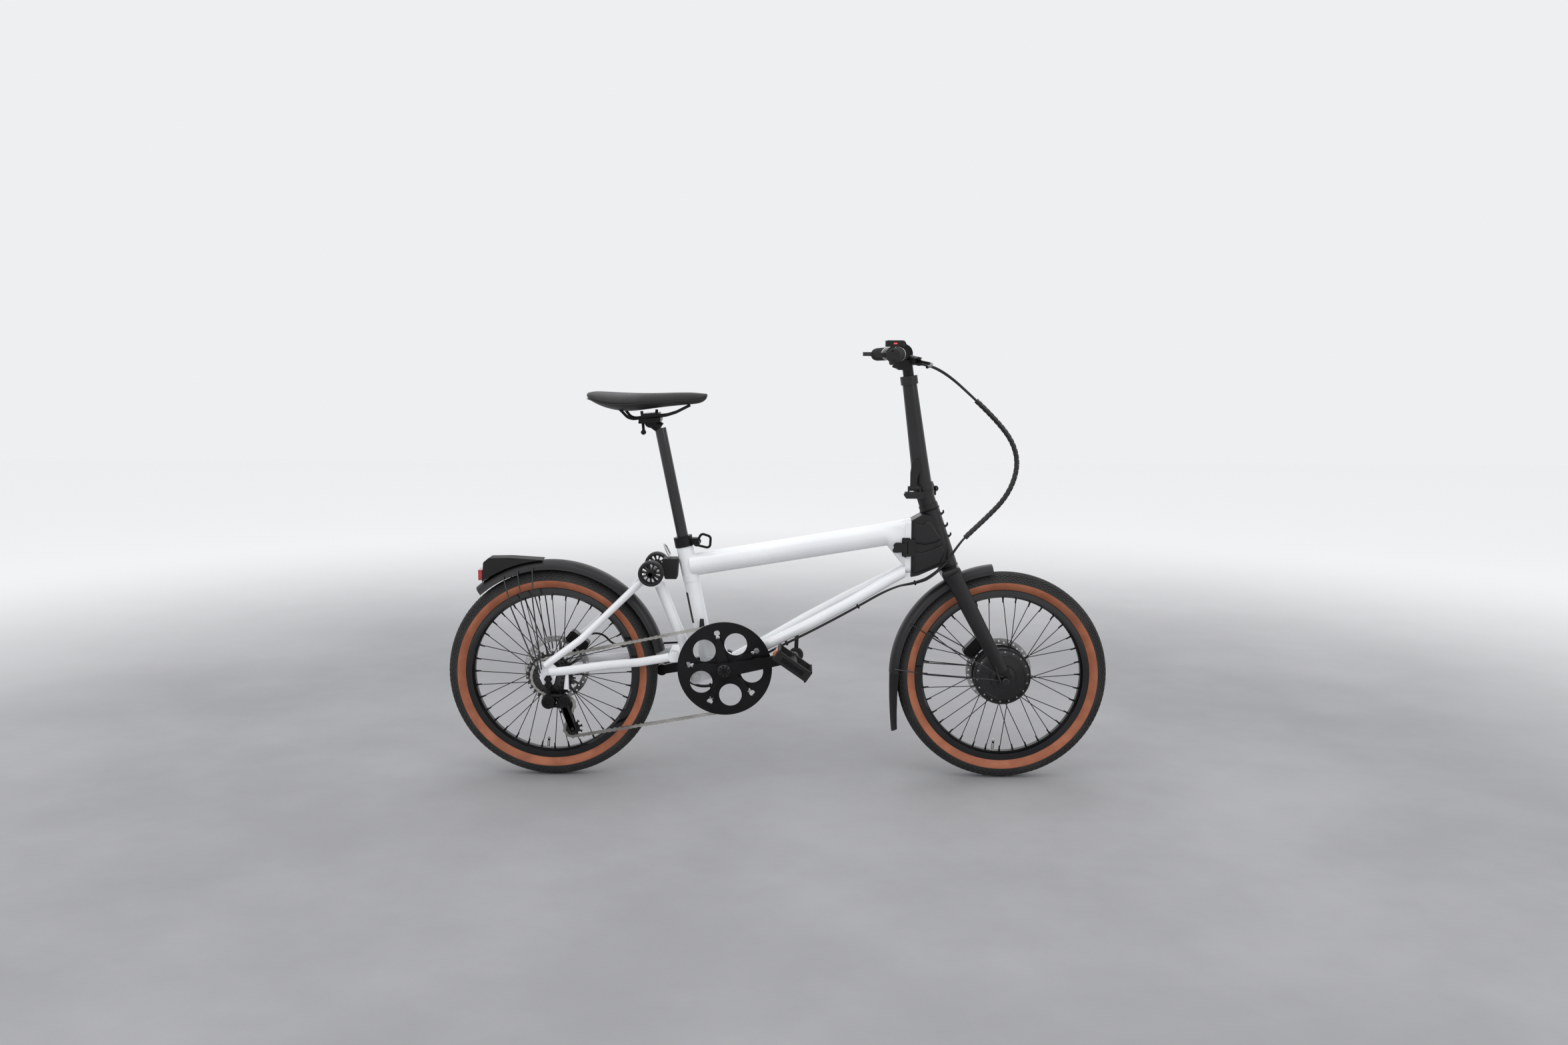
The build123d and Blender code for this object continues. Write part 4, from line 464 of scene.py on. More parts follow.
for material, members in (
        (satin_black, ("fork", "head_housing", "stem_base", "stem_tube")),
        (gloss_black, ("seatpost",)),
        (anodised, ("seat_collar", "seat_lever", "seat_clamp", "rear_caliper", "front_caliper",
                    "derailleur_body", "derailleur_cage", "rear_hub", "crankset", "chainring",
                    "handlebar_post", "handlebar", "rear_axles", "front_axle", "brake_lever_right",
                    "brake_lever_left", "rear_rim", "front_rim", "front_spokes", "rear_spokes")),
        (moulded, ("frame_catches", "latch_lever", "guide_and_bumper", "tail_light", "stem_latch",
                   "bar_controls", "throttle", "guide_pulley", "tension_pulley", "rollers",
                   "pedal_right", "pedal_left")),
        (sheet_black, ("rear_fender", "front_fender")),
        (rubber, ("grips", "frame_cables", "front_cables", "saddle", "front_tyre", "rear_tyre")),
        (steel, ("hinge_pins", "release_bail", "rear_rotor", "front_rotor")),
        (chain_metal, ("chain",)),
        (dark_steel, ("cassette",))):
    for node in members:
        dress(node, material)


# ---------------------------------------------------------------- hoses and gear cables
# Black plastic-sheathed hoses and cables. Two leave the bar, run together inside a spiral
# wrap in front of the stem, and go on in pairs under the right down tube, held by clips.
HOSE_R, GEAR_CABLE_R = .0026, .0022


def drawn(name, kind, points, **settings):
    """A curve object led by points."""
    curve = bpy.data.curves.new(name, "CURVE")
    curve.dimensions = "3D"
    spline = curve.splines.new(kind)
    spline.points.add(len(points) - 1)
    for point, place in zip(spline.points, points):
        point.co = (*place, 1.0)
    for setting, value in settings.items():
        setattr(spline, setting, value)
    made = bpy.data.objects.new(name, curve)
    scene.collection.objects.link(made)
    return made


def smooth_line(route, start, count=120):
    """Points on the smooth curve that a hose takes along its route."""
    holder = drawn("route", "NURBS", [start + Vector(place) for place in route],
                   order_u=3, use_endpoint_u=True, resolution_u=24)
    line = [v.co.copy() for v in solved(holder).vertices]
    bpy.data.objects.remove(holder)
    step = max(1, len(line) // count)
    return line[::step] + ([line[-1]] if (len(line) - 1) % step else [])


hose = plain_finish("hose_sheath", (.008, .008, .008), (.018, .018, .018), .36,
                    500.0, .00006, coat=.2, dust=.08)
FRONT_STARTS = ((.0028, .0023, .4653), (.0008, .1103, .4633))
FRONT_RUN = (  # x and z that both hoses share, then y of each
    (.0308, .4653, .0143, .1007), (.0828, .4403, .0463, .0783), (.1448, .3853, .0543, .0703),
    (.2028, .3293, .0573, .0673), (.2388, .2833, .0583, .0663), (.2528, .2353, .0583, .0663),
    (.2448, .1873, .0583, .0663), (.2208, .1433, .0533, .0633), (.1828, .1053, .0453, .0553),
    (.1448, .0713, .0363, .0443), (.1128, .0433, .0308, .0252), (.0868, .0013, .0278, .0222))
FRAME_ROUTES = (
    ((.6416, .0176, .3153), (.6076, .0176, .2833), (.5716, .0281, .2653), (.5131, .0246, .254),
     (.4135, .0026, .2001), (.3139, .0026, .1462), (.206, .0234, .0878), (.1276, .0401, .0293),
     (.0796, .0401, .0053), (.0356, .0421, .0073), (.0016, .0421, .0333)),
    ((.6416, .012, .3153), (.6076, .012, .2793), (.5716, .0341, .2613), (.5131, .0306, .254),
     (.4135, .0086, .2001), (.3139, .0086, .1462), (.206, .0294, .0878), (.1276, .0461, .0253),
     (.0796, .0461, .0013), (.0356, .0491, .0033), (.0016, .0491, .0293)))
front_start, frame_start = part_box("front_cables")[0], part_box("frame_cables")[0]
front_lines = [smooth_line([first, *((x, ys[i], z) for x, z, *ys in FRONT_RUN)], front_start)
               for i, first in enumerate(FRONT_STARTS)]
frame_lines = [smooth_line(r, frame_start) for r in FRAME_ROUTES]
front_hoses = piece("front_hoses", *joined(*(tube(line, HOSE_R, 10) for line in front_lines)), hose,
                    None, "cable_black", ("front_cables",))
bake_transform(front_hoses)
frame_hoses = piece("frame_hoses", *joined(tube(frame_lines[0], HOSE_R, 10),
                                           tube(frame_lines[1], GEAR_CABLE_R, 10)), hose,
                    None, "cable_black", ("frame_cables",))
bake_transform(frame_hoses)

WRAP_R, WRAP_PITCH, GROOVE_DEPTH = .0062, .013, .0011
core = [(a + b) / 2 for a, b in zip(*front_lines)]
lengths = list(accumulate(((b - a).length for a, b in zip(core, core[1:])), initial=0.0))
first = next(i for i, p in enumerate(core) if p.x > front_start.x + .150)
last = max(i for i, p in enumerate(core) if p.z > front_start.z + .055)
fine, reach = [], []
for i in range(first, last):
    for part in range(4):
        fine.append(core[i].lerp(core[i + 1], part / 4))
        reach.append(lengths[i] + (lengths[i + 1] - lengths[i]) * part / 4)
rings = []
for p, s, (u, v) in zip(fine, reach, frame_along(fine)):
    rings.append([])
    for k in range(18):
        a = 2 * math.pi * k / 18
        groove = .5 + .5 * math.cos(a + 2 * math.pi * s / WRAP_PITCH)
        r = WRAP_R - (GROOVE_DEPTH if groove > .86 else 0)
        rings[-1].append(p + r * (math.cos(a) * u + math.sin(a) * v))
wrap = piece("spiral_wrap", *skin(rings), hose, None, "cable_black")
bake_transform(wrap)

# ---------------------------------------------------------------- tyres
# Moulded rubber with a fine block tread on a black crown and bare tan walls, plain where a
# maker would print its name. The beads sit inside the rim's hooks.
WALL_IN, WALL_OUT, WALL_EDGE = .2105, .2285, .0006
TAN, TAN_LIGHT, BLACK = (.34, .105, .048), (.43, .145, .070), (.012, .012, .013)
TYRE_HALF_SECTION = ((203.4, 12.8), (206, 12.9), (209.5, 13.6), (212, 16.0), (215, 18.9),
                     (219, 21.8), (224, 24.1), (229, 24.9), (234, 24.4), (239, 22.3),
                     (243, 19.2), (246, 15.0), (248.3, 9.5), (249.3, 4.5), (249.7, 0.0))
TYRE_INSIDE = ((203.4, 9.6), (212, 9.8), (219, 17.0), (229, 21.5), (240, 17.5), (246, 8.0),
               (247, 0.0))
ROWS_A, ROWS_B = (0, 6.2, 12.2, 17.6, 21.6), (3.1, 9.3, 15.1, 19.8, 23.4)
BLOCKS_ROUND = 118


def wall_at(y):
    """Radius of the tyre at a distance from its middle plane, and how far it leans there."""
    for (r1, y1), (r0, y0) in zip(TYRE_HALF_SECTION[7:], TYRE_HALF_SECTION[8:]):
        if y0 <= y <= y1:
            share = (y - y0) / (y1 - y0)
            return r0 + (r1 - r0) * share, math.atan2(r0 - r1, y1 - y0)
    return TYRE_HALF_SECTION[7][0], math.pi / 2


def tread_blocks(rows, start, height):
    """One row of blocks across the tyre, standing at angle start."""
    shapes = []
    for y in sorted({s * r for r in rows for s in (1, -1)}):
        r, lean = wall_at(abs(y))
        side = 1 if y >= 0 else -1
        out = Vector((math.cos(lean), side * math.sin(lean), 0))
        along = Vector((-math.sin(lean), side * math.cos(lean), 0))
        base = Vector((r, y, 0)) / 1000
        tall = height * (1 if abs(y) < 19 else .6)
        ring = []
        for h, wide, long in ((-.9, 2.35, 4.6), (tall - .5, 2.2, 4.3), (tall, 1.8, 3.7)):
            ring.append([base + (out * h + along * wide * a + Vector((0, 0, 1)) * long * b) / 1000
                         for a, b in ((-1, -.55), (-.2, -1), (1, -.55), (1, .55), (.2, 1), (-1, .55))])
        turn = Matrix.Rotation(-start, 4, "Y")
        shapes.append(skin([[turn @ p for p in one] for one in ring]))
    return joined(*shapes)


for wheel, cad, body in (("rear", "rear_tyre", "rear_wheel"), ("front", "front_tyre", "front_wheel")):
    hub = middle(cad)
    tyre = Finish(wheel + "_tyre_rubber", Metallic=0.0)
    spot = tyre.node("ShaderNodeVectorMath", {"operation": "SUBTRACT"}, {0: tyre.place, 1: tuple(hub)})
    flat = tyre.node("ShaderNodeVectorMath", {"operation": "MULTIPLY"}, {0: spot, 1: (1, 0, 1)})
    radius = tyre.node("ShaderNodeVectorMath", {"operation": "LENGTH"}, {0: flat}, out="Value")
    wall = (radius.step(WALL_IN - WALL_EDGE, WALL_IN + WALL_EDGE)
            * (1 - radius.step(WALL_OUT - WALL_EDGE, WALL_OUT + WALL_EDGE)))
    weave = tyre.noise(260.0, 4.0, .7)
    soot = tyre.noise(14.0, 6.0, .65).step(.42, .72)
    tan = tyre.colour(tyre.colour(TAN, TAN_LIGHT, tyre.noise(30.0, 4.0).step(.3, .7)),
                      (.17, .06, .035), soot * .35)
    black = tyre.colour(BLACK, (.045, .043, .041), soot * .6)
    ripple = radius * 5200.0
    rib = ripple.maths("SINE", ripple) * .5 + .5
    tyre.set(Base_Color=tyre.colour(black, tan, wall), Roughness=.58 + .14 * soot + .08 * weave,
             Normal=tyre.bump(weave * .6 + rib * .4, .00025))
    half, inside = metres(TYRE_HALF_SECTION), metres(TYRE_INSIDE)
    outline = half + [(r, -y) for r, y in half[-2::-1]] + [(r, -y) for r, y in inside]
    outline += inside[-2::-1]
    piece(wheel + "_tyre_case", *lathe(outline, hub, 160), tyre.material, body, "tyre_rubber", (cad,))
    for letter, rows, turn in (("a", ROWS_A, 0.0), ("b", ROWS_B, math.pi / BLOCKS_ROUND)):
        repeated(f"{wheel}_tread_{letter}", tread_blocks(rows, turn, 2.9), ROUND, body,
                 "tyre_rubber", tyre.material, Count=BLOCKS_ROUND, Centre=hub, First_angle=0.0)

# ---------------------------------------------------------------- wheels
# Black alloy rims laced with thirty-six black spokes. Each spoke ends in a brass-cored
# nipple, and a bright valve stands in by the bottom of each rim.
NIPPLE_FROM, NIPPLE_TO = .1905, .1775
VALVE_AT, VALVE_R = math.radians(265), .0034
polished = plain_finish("polished_brass_nickel", (.55, .54, .50), (.74, .73, .70), .18,
                        900.0, .00003, metal=1.0, dust=.08)
for wheel, cad, body in (("rear", "rear_rim", "rear_wheel"), ("front", "front_rim", "front_wheel")):
    hub = middle(cad)
    for (word, side), start in zip(SIDES, (0.0, math.radians(10))):
        nipple = tube([Vector((NIPPLE_FROM, side * .0031, 0)), Vector((.184, side * .0034, 0)),
                       Vector((NIPPLE_TO, side * .0038, 0))], [.0026, .0020, .0016], 8)
        repeated(f"{wheel}_nipples_{word}", nipple, ROUND, body, "spoke_black", anodised,
                 Count=18, Centre=hub, First_angle=start)
    way = Vector((math.cos(VALVE_AT), 0, math.sin(VALVE_AT)))
    marks = ((.1915, .0050), (.1893, .0050), (.1890, VALVE_R), (.1720, VALVE_R), (.1718, .0028),
             (.1675, .0028), (.1673, .0036), (.1640, .0036), (.1625, .0020))
    piece(wheel + "_valve", *stepped(lambda r: hub + way * r, marks, 14), polished, body,
          "hub_silver", sharp=.5)
    lip = [(.1956, .01515), (.2068, .01515), (.2078, .0146), (.2085, .0130), (.2088, .0135),
           (.2090, .01535), (.2066, .01590), (.1950, .01590), (.1925, .0125), (.1930, .0120)]
    for word, side in SIDES:
        piece(f"{wheel}_rim_lip_{word}",
              *lathe([(r, side * y) for r, y in lip], hub, 160), gloss_black, body, "rim_black")

# ---------------------------------------------------------------- chain
# A bushed roller chain of half-inch links, inner and outer in turn, dull silver with oil and
# dust between the plates. It runs round the chainring, a cassette cog and both pulleys, with no body.
PITCH, ROLLER_R = .0127, .0038
ring_c, cog_c = middle("chainring"), middle("cassette")
guide_c, tension_c = middle("guide_pulley"), middle("tension_pulley")
chain_y = centre_of("chain").y
RING_PITCH_R, COG_PITCH_R, PULLEY_PITCH_R = .1051, .04447, .0202


def belt(circles):
    """Points round a belt over circles of (centre, radius, +1 or -1 for its way round)."""
    points = []
    count = len(circles)
    leave, meet = {}, {}
    for i, (c1, r1, s1) in enumerate(circles):
        c2, r2, s2 = circles[(i + 1) % count]
        d = c2 - c1
        heading = math.atan2(d.z, d.x) + math.asin((s1 * r1 - s2 * r2) / d.length)
        normal = Vector((-math.sin(heading), 0, math.cos(heading)))
        leave[i] = c1 - normal * s1 * r1
        meet[(i + 1) % count] = c2 - normal * s2 * r2
    for i, (c, r, s) in enumerate(circles):
        a0 = math.atan2((meet[i] - c).z, (meet[i] - c).x)
        a1 = math.atan2((leave[i] - c).z, (leave[i] - c).x)
        sweep = (s * (a1 - a0)) % (2 * math.pi)
        steps = max(3, int(sweep * r / .004))
        for k in range(steps + 1):
            a = a0 + s * sweep * k / steps
            points.append(c + Vector((r * math.cos(a), 0, r * math.sin(a))))
    return points


path_points = belt([(ring_c, RING_PITCH_R, 1), (cog_c, COG_PITCH_R, 1), (guide_c, PULLEY_PITCH_R, -1),
                    (tension_c, PULLEY_PITCH_R, 1)])
chain_line = drawn("chain_line", "POLY", [(p.x, chain_y, p.z) for p in path_points],
                   use_cyclic_u=True)
around = sum((b - a).length for a, b in zip(path_points, path_points[1:] + path_points[:1]))
link_count = 2 * round(around / PITCH / 2)


def link_plate(y0, y1, fat, waist):
    """A figure-of-eight plate between two pins."""
    edge = []
    for end in (1, -1):
        for k in range(7):
            a = math.radians(-75 + 25 * k)
            edge.append((end * (PITCH / 2 + fat * math.cos(a)), end * fat * math.sin(a)))
        edge.append((0.0, end * waist))
    return skin([[Vector((x, y, z)) for x, z in edge] for y in (y0, y1)])


def pin_at(x, y0, y1, r):
    return tube([Vector((x, y0, 0)), Vector((x, y1, 0))], r, 10)


inner = joined(*(link_plate(s * .0019, s * .0027, .0041, .0027) for s in (1, -1)),
               *(pin_at(x, -.0019, .0019, ROLLER_R) for x in (PITCH / 2, -PITCH / 2)))
outer = joined(*(link_plate(s * .0028, s * .0036, .0041, .0025) for s in (1, -1)),
               *(pin_at(x, -.0041, .0041, .0017) for x in (PITCH / 2, -PITCH / 2)))
for name, part, first, stands_for in (("chain_inner_links", inner, 0.0, ("chain",)),
                                      ("chain_outer_links", outer, 1.0, ())):
    made = repeated(name, part, ALONG, None, "chain_steel", chain_metal, stands_for,
                    Path=chain_line, Count=link_count, Every=2.0, First=first)
    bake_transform(made)
bpy.data.objects.remove(chain_line)

# ---------------------------------------------------------------- saddle
# A foam pad on a nylon shell under one skin of grained black vinyl, wide at the back, with a
# shallow channel down the middle and a welt where the skin turns under.
tail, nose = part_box("saddle")
SADDLE_RIBS = ((.000, .030, .004, .006), (.015, .046, .009, .012), (.05, .060, .014, .019),
               (.12, .0715, .019, .026), (.22, .0775, .021, .033), (.32, .0760, .021, .036),
               (.42, .0650, .019, .035), (.52, .0490, .0175, .031), (.62, .0360, .0165, .028),
               (.74, .0260, .0155, .026), (.86, .0215, .014, .024), (.94, .0185, .011, .021),
               (.985, .0120, .007, .013), (1.0, .0050, .003, .006))


def saddle_ring(share, half, high, deep, top):
    """A rib of the saddle: crowned above, pulled in at the sides and tucked under."""
    x = tail.x + share * (nose.x - tail.x)
    ring = []
    for k in range(36):
        a = 2 * math.pi * k / 36
        c, s = math.cos(a), math.sin(a)
        y = half * math.copysign(abs(c) ** .82, c)
        if s >= 0:
            z = top - high + high * s ** .75
            channel = math.exp(-(y / .0085) ** 2) * max(0.0, math.sin(math.pi * min(1, share / .9)))
            z -= .0035 * channel
        else:
            y *= 1 - .22 * s * s
            z = top - high + (deep - high * .2) * s * .72
        ring.append(Vector((x, y, z)))
    return ring


skin_black = Finish("saddle_vinyl", Metallic=0.0)
grain = skin_black.cells(520.0).step(0.0, .16)
shine = skin_black.noise(11.0, 4.0).step(.35, .7)
skin_black.set(Base_Color=skin_black.colour((.010, .010, .010), (.021, .021, .021),
                                            shine * .6 + grain * .4),
               Roughness=.50 - .12 * shine + .10 * grain,
               Normal=skin_black.bump(grain, .00016,
                                      skin_black.bump(skin_black.noise(90.0, 3.0), .0002)))
rings = []
for share, half, high, deep in SADDLE_RIBS:
    top = nose.z - .0015 - .0045 * math.sin(math.pi * min(1.0, max(0.0, (share - .05) / .8)))
    top -= .006 * max(0.0, share - .8) / .2 + .004 * max(0.0, .06 - share) / .06
    rings.append(saddle_ring(share, half, high, deep, top))
saddle = piece("saddle_pad", *skin(rings), skin_black.material, "seat", "saddle_skin", ("saddle",),
               sharp=3.0)
smoother = saddle.modifiers.new("round", "SUBSURF")
smoother.levels = smoother.render_levels = 2
saddle_mesh = solved(saddle)
saddle.modifiers.clear()
saddle.data = saddle_mesh
welt = [Vector((r[0].x, r[0].y * .985, r[0].z - .0045)) for r in rings[1:-1]]
welt += [Vector((r[18].x, r[18].y * .985, r[18].z - .0045)) for r in reversed(rings[1:-1])]
piece("saddle_welt", *tube(welt, .0012, 8), skin_black.material, "seat", "saddle_skin")

# ---------------------------------------------------------------- fenders
# Crowned plastic strips with deep sides and a rolled edge, and a soft flap at the front
# one's foot. Thin wire stays run from their sides to the axle plates.
FENDER_SECTION = ((0, 0), (-.6, 7), (-2.4, 14), (-6, 20.5), (-11, 25), (-16, 27.4), (-19.5, 28.0),
                  (-20.6, 28.9), (-21.6, 28.4), (-21.0, 27.2), (-19.0, 26.4), (-16, 25.8),
                  (-11.5, 23.4), (-7, 19.2), (-3.8, 13.2), (-2.2, 6.6), (-1.6, 0))


def fender_strip(centre, radius, start, end, steps):
    """The strip's section carried round the wheel between two bearings in degrees."""
    section = [(radius + r, y) for r, y in metres(FENDER_SECTION)]
    section += [(r, -y) for r, y in section[-2:0:-1]]
    turns = [math.radians(start + (end - start) * k / steps) for k in range(steps + 1)]
    return skin([swung(section, centre, a) for a in turns])


def wire_stay(centre, radius, bearing, foot, out_y, side):
    a = math.radians(bearing)
    top = centre + Vector(((radius - .012) * math.cos(a), 0, (radius - .012) * math.sin(a)))
    top.y = side * .0285
    foot = Vector((foot[0], side * out_y, foot[1]))
    knee = top.lerp(foot, .30)
    knee.y = side * (out_y - .006)
    return tube([top, top.lerp(knee, .55), knee, knee.lerp(foot, .2), foot], .0017, 8)


rear_hub_c, front_hub_c = middle("rear_tyre"), middle("front_tyre")
REAR_FENDER_R, FRONT_FENDER_R = .277, .2715
for word, hub, radius, start, end, steps, body, foot_y, feet in (
        ("rear", rear_hub_c, REAR_FENDER_R, 12, 131, 72, "rear_triangle", .0795,
         ((99, (-.557, .277)), (107, (-.560, .2685)), (115, (-.5615, .260)))),
        ("front", front_hub_c, FRONT_FENDER_R, 96, 179, 56, "front_fork", .0680,
         ((150, (.5385, .262)), (176, (.5375, .254))))):
    piece(word + "_fender_strip", *fender_strip(hub, radius, start, end, steps), sheet_black, body,
          "fender_black", (word + "_fender",))
    stays = [wire_stay(hub, radius, bearing, foot, foot_y, side) for bearing, foot in feet
             for side in (1, -1)]
    piece(word + "_fender_stays", *joined(*stays), gloss_black, body, "spoke_black")
FLAP_THICK = .0018
flap_rings = []
for share in (0.0, .1, .25, .45, .7, .9, 1.0):
    x = front_hub_c.x - FRONT_FENDER_R + .0015 - .004 * share + .010 * share ** 2
    z = .262 - .150 * share
    wide = .0285 + .0065 * share
    cup = .020 - .010 * share
    flap_rings.append([Vector((x + back + cup * abs(t) ** 2.6, (wide - trim) * t,
                               z + .012 * share * t * t))
                       for way, back, trim in ((1, 0.0, 0.0), (-1, FLAP_THICK, .0012))
                       for t in (way * (k / 6 - 1) for k in range(13))])
piece("front_flap", *skin(flap_rings), rubber, "front_fork", "fender_black")

# ---------------------------------------------------------------- rollers
# Two hard nylon wheels on an axle across the top of the rear triangle, which the folded
# bicycle rolls on. Eleven ribs join each hub to its rim, with daylight between them.
roller_c = middle("rollers")
ROLLER_SECTION = ((30, -9), (30, 9), (28.6, 12.6), (25.5, 14), (23.2, 13), (22.4, 10),
                  (22.4, -10), (23.2, -13), (25.5, -14), (28.6, -12.6))
HUB_SECTION = ((5.1, -14), (8.2, -14), (10.4, -12.5), (11, -10), (11, 10), (10.4, 12.5),
               (8.2, 14), (5.1, 14))
roller_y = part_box("rollers")[1].y - .014
for word, side in SIDES:
    spot = roller_c + Vector((0, side * roller_y, 0))
    shapes = [lathe(metres(section), spot, 56) for section in (ROLLER_SECTION, HUB_SECTION)]
    piece("roller_" + word, *joined(*shapes), moulded, "roller_pair", "roller_black",
          ("rollers",) if side > 0 else ())
    rib = skin([[Vector((x, side * roller_y + y, z)) for y, z in oblong(.010, w)]
                for x, w in ((.0100, .0010), (.0150, .0011), (.0200, .0018), (.0230, .0032))])
    repeated("roller_ribs_" + word, rib, ROUND, "roller_pair", "roller_black", moulded,
             Count=11, Centre=roller_c, First_angle=.1)
    cap = tube([Vector((0, side * .0835, 0)), Vector((0, side * .0880, 0)), Vector((0, side * .0890, 0))],
               [.0092, .0092, .0070], 20)
    piece("roller_cap_" + word, [Vector(v) + roller_c for v in cap[0]], cap[1], anodised,
          "rear_triangle", "crank_black")

# ---------------------------------------------------------------- screws and caps
# Small socket-head screws, dull steel or blackened, pulled up tight in their seats.
motor_c = middle("hub_motor")
for name, part, count, spot, start, body, metal, slot in (
        ("motor_cover_screws", screw(.0023, .0018, -.0262, -1, .0608), 18, motor_c, .1,
         "front_wheel", steel, "bare_steel"),
        ("motor_cover_screws_left", screw(.0023, .0018, .0262, 1, .0608), 18, motor_c, .1,
         "front_wheel", steel, "bare_steel"),
        ("ring_bolts", screw(.0048, .0016, -.0545, -1, .0770), 5, ring_c, math.radians(30),
         "cranks", steel, "bare_steel"),
        ("rear_rotor_bolts", screw(.0036, .0022, .0458, 1, .0190), 6, rear_hub_c, 0.0,
         "rear_wheel", steel, "bare_steel"),
        ("crank_cap_screws", screw(.0026, .0012, -.0785, -1, .0110), 8, ring_c, .2,
         "cranks", anodised, "crank_black")):
    repeated(name, part, ROUND, body, slot, metal, Count=count, Centre=spot, First_angle=start)
cap = [(.0001, -.0746), (.0150, -.0746), (.0150, -.0778), (.0138, -.0788), (.0070, -.0788),
       (.0062, -.0770), (.0001, -.0770)]
piece("crank_cap", *lathe(cap, ring_c, 40), gloss_black, "cranks", "crank_black")
motor_disc = [(.0120, -.0362), (.0190, -.0374), (.0300, -.0346), (.0315, -.0352), (.0325, -.0340),
              (.0520, -.0312), (.0530, -.0318), (.0545, -.0304), (.0540, -.0290), (.0120, -.0320)]
motor_shell = plain_finish("motor_lacquer", (.007, .007, .0075), (.016, .016, .017), .34, 1500.0,
                           .00004, coat=.2, dust=.05)
dress("hub_motor", motor_shell)
for word, side in SIDES:
    piece("motor_cover_" + word,
          *lathe([(r, -side * y) for r, y in motor_disc], motor_c, 72), motor_shell,
          "front_wheel", "hub_black", sharp=.3)
axle_cap = [(.0001, -.0700), (.0085, -.0700), (.0085, -.0775), (.0070, -.0790), (.0001, -.0790)]
piece("front_axle_cap", *lathe(axle_cap, motor_c, 28), gloss_black, "front_fork", "hub_black")
lead_low = motor_c + Vector((.004, -.0735, -.006))
motor_lead = smooth_line(((0, 0, 0), (-.010, 0, -.004), (-.020, .004, .014), (-.028, .008, .045),
                          (-.046, .009, .090)), lead_low, 40)
piece("motor_lead", *tube(motor_lead, .0024, 10), hose, "front_fork", "cable_black")

# ---------------------------------------------------------------- pedals
# Pressed cage pedals with gripping teeth along both rails and an amber reflector let into
# each rail.
amber = Finish("amber_reflector", Metallic=0.0, Coat_Weight=.8)
prism = amber.cells(420.0).step(0.0, .12)
amber.set(Base_Color=amber.colour((.30, .045, .004), (.85, .19, .015), prism),
          Roughness=.12 + .2 * (1 - prism), Normal=amber.bump(prism, .0006))
CRANK_REACH, CRANK_RISE = .165, math.radians(11)
for word, side, rise, tilt, mid_y in (("right", -1, CRANK_RISE, 35, .1205),
                                      ("left", 1, CRANK_RISE + math.pi, -8, .1165)):
    spot = ring_c + CRANK_REACH * Vector((math.cos(rise), 0, math.sin(rise)))
    place = Matrix.Translation(spot + Vector((0, side * mid_y, 0))) @ Matrix.Rotation(
        math.radians(tilt), 4, "Y")
    teeth, lenses = [], []
    for fore in (-1, 1):
        for k in range(7):
            y = -.033 + .011 * k
            for high in (-1, 1):
                x, z = fore * .0440, high * .0128
                rings = [[place @ Vector((x + dx * w, y + dy * w, z + high * h))
                          for dx, dy in oblong(.0024, .0040)]
                         for w, h in ((1.0, -.002), (1.0, .0006), (.5, .0030))]
                teeth.append(skin(rings))
        rings = [[place @ Vector((fore * x, y, z)) for y, z in oblong(a, b)]
                 for x, a, b in ((.0455, .0215, .0078), (.0482, .0215, .0078), (.0490, .0205, .0068))]
        lenses.append(skin(rings))
        face = [[place @ Vector((x, fore * .0390 + dy, z)) for x, z in oblong(.030, .005)]
                for dy in (-.0006, .0012)]
        teeth.append(skin(face))
    piece("pedal_teeth_" + word, *joined(*teeth), anodised, word + "_pedal", "trim_black")
    piece("pedal_reflectors_" + word, *joined(*lenses), amber.material, word + "_pedal", "lens_red")

# ---------------------------------------------------------------- lamp
# A red prismatic lens closes the back of the lamp housing over the rear fender.
red = Finish("red_lens", Metallic=0.0, Coat_Weight=1.0)
cells = red.cells(300.0).step(0.0, .10)
red.set(Base_Color=red.colour((.14, .002, .002), (.62, .012, .010), cells),
        Roughness=.10 + .25 * (1 - cells), Normal=red.bump(cells, .0008))
dress("tail_lens", red.material)

# ---------------------------------------------------------------- head
# A cast housing carries the steering tube. Raised shields on its sides are parted by a
# sweeping channel, and clips on the tube's nose hold the hoses.
STEERER_TOP, STEERER_FOOT = Vector((.363, 0, .654)), Vector((.4087, 0, .5195))
UPPER_SHIELD = ((.3245, .6270), (.3460, .6215), (.3545, .6310), (.3640, .6270), (.3870, .5885),
                (.3790, .5800), (.3510, .5735), (.3225, .5780))
LOWER_SHIELD = ((.3225, .5560), (.3450, .5560), (.3700, .5640), (.3905, .5735), (.3965, .5560),
                (.3880, .5290), (.3600, .5150), (.3225, .5040))


def shield(outline, side, base, proud, inset):
    """A raised plate whose edges slope in, on one side of the housing."""
    cx = sum(x for x, _ in outline) / len(outline)
    cz = sum(z for _, z in outline) / len(outline)
    rings = []
    for y, pull in ((base, 0.0), (base + proud * .6, 0.0), (base + proud * .92, inset * .55),
                    (base + proud, inset), (base + proud, inset * 2.2)):
        rings.append([])
        for x, z in outline:
            k = 1 - pull / math.hypot(x - cx, z - cz)
            rings[-1].append(Vector((cx + (x - cx) * k, side * y, cz + (z - cz) * k)))
    return skin(rings)


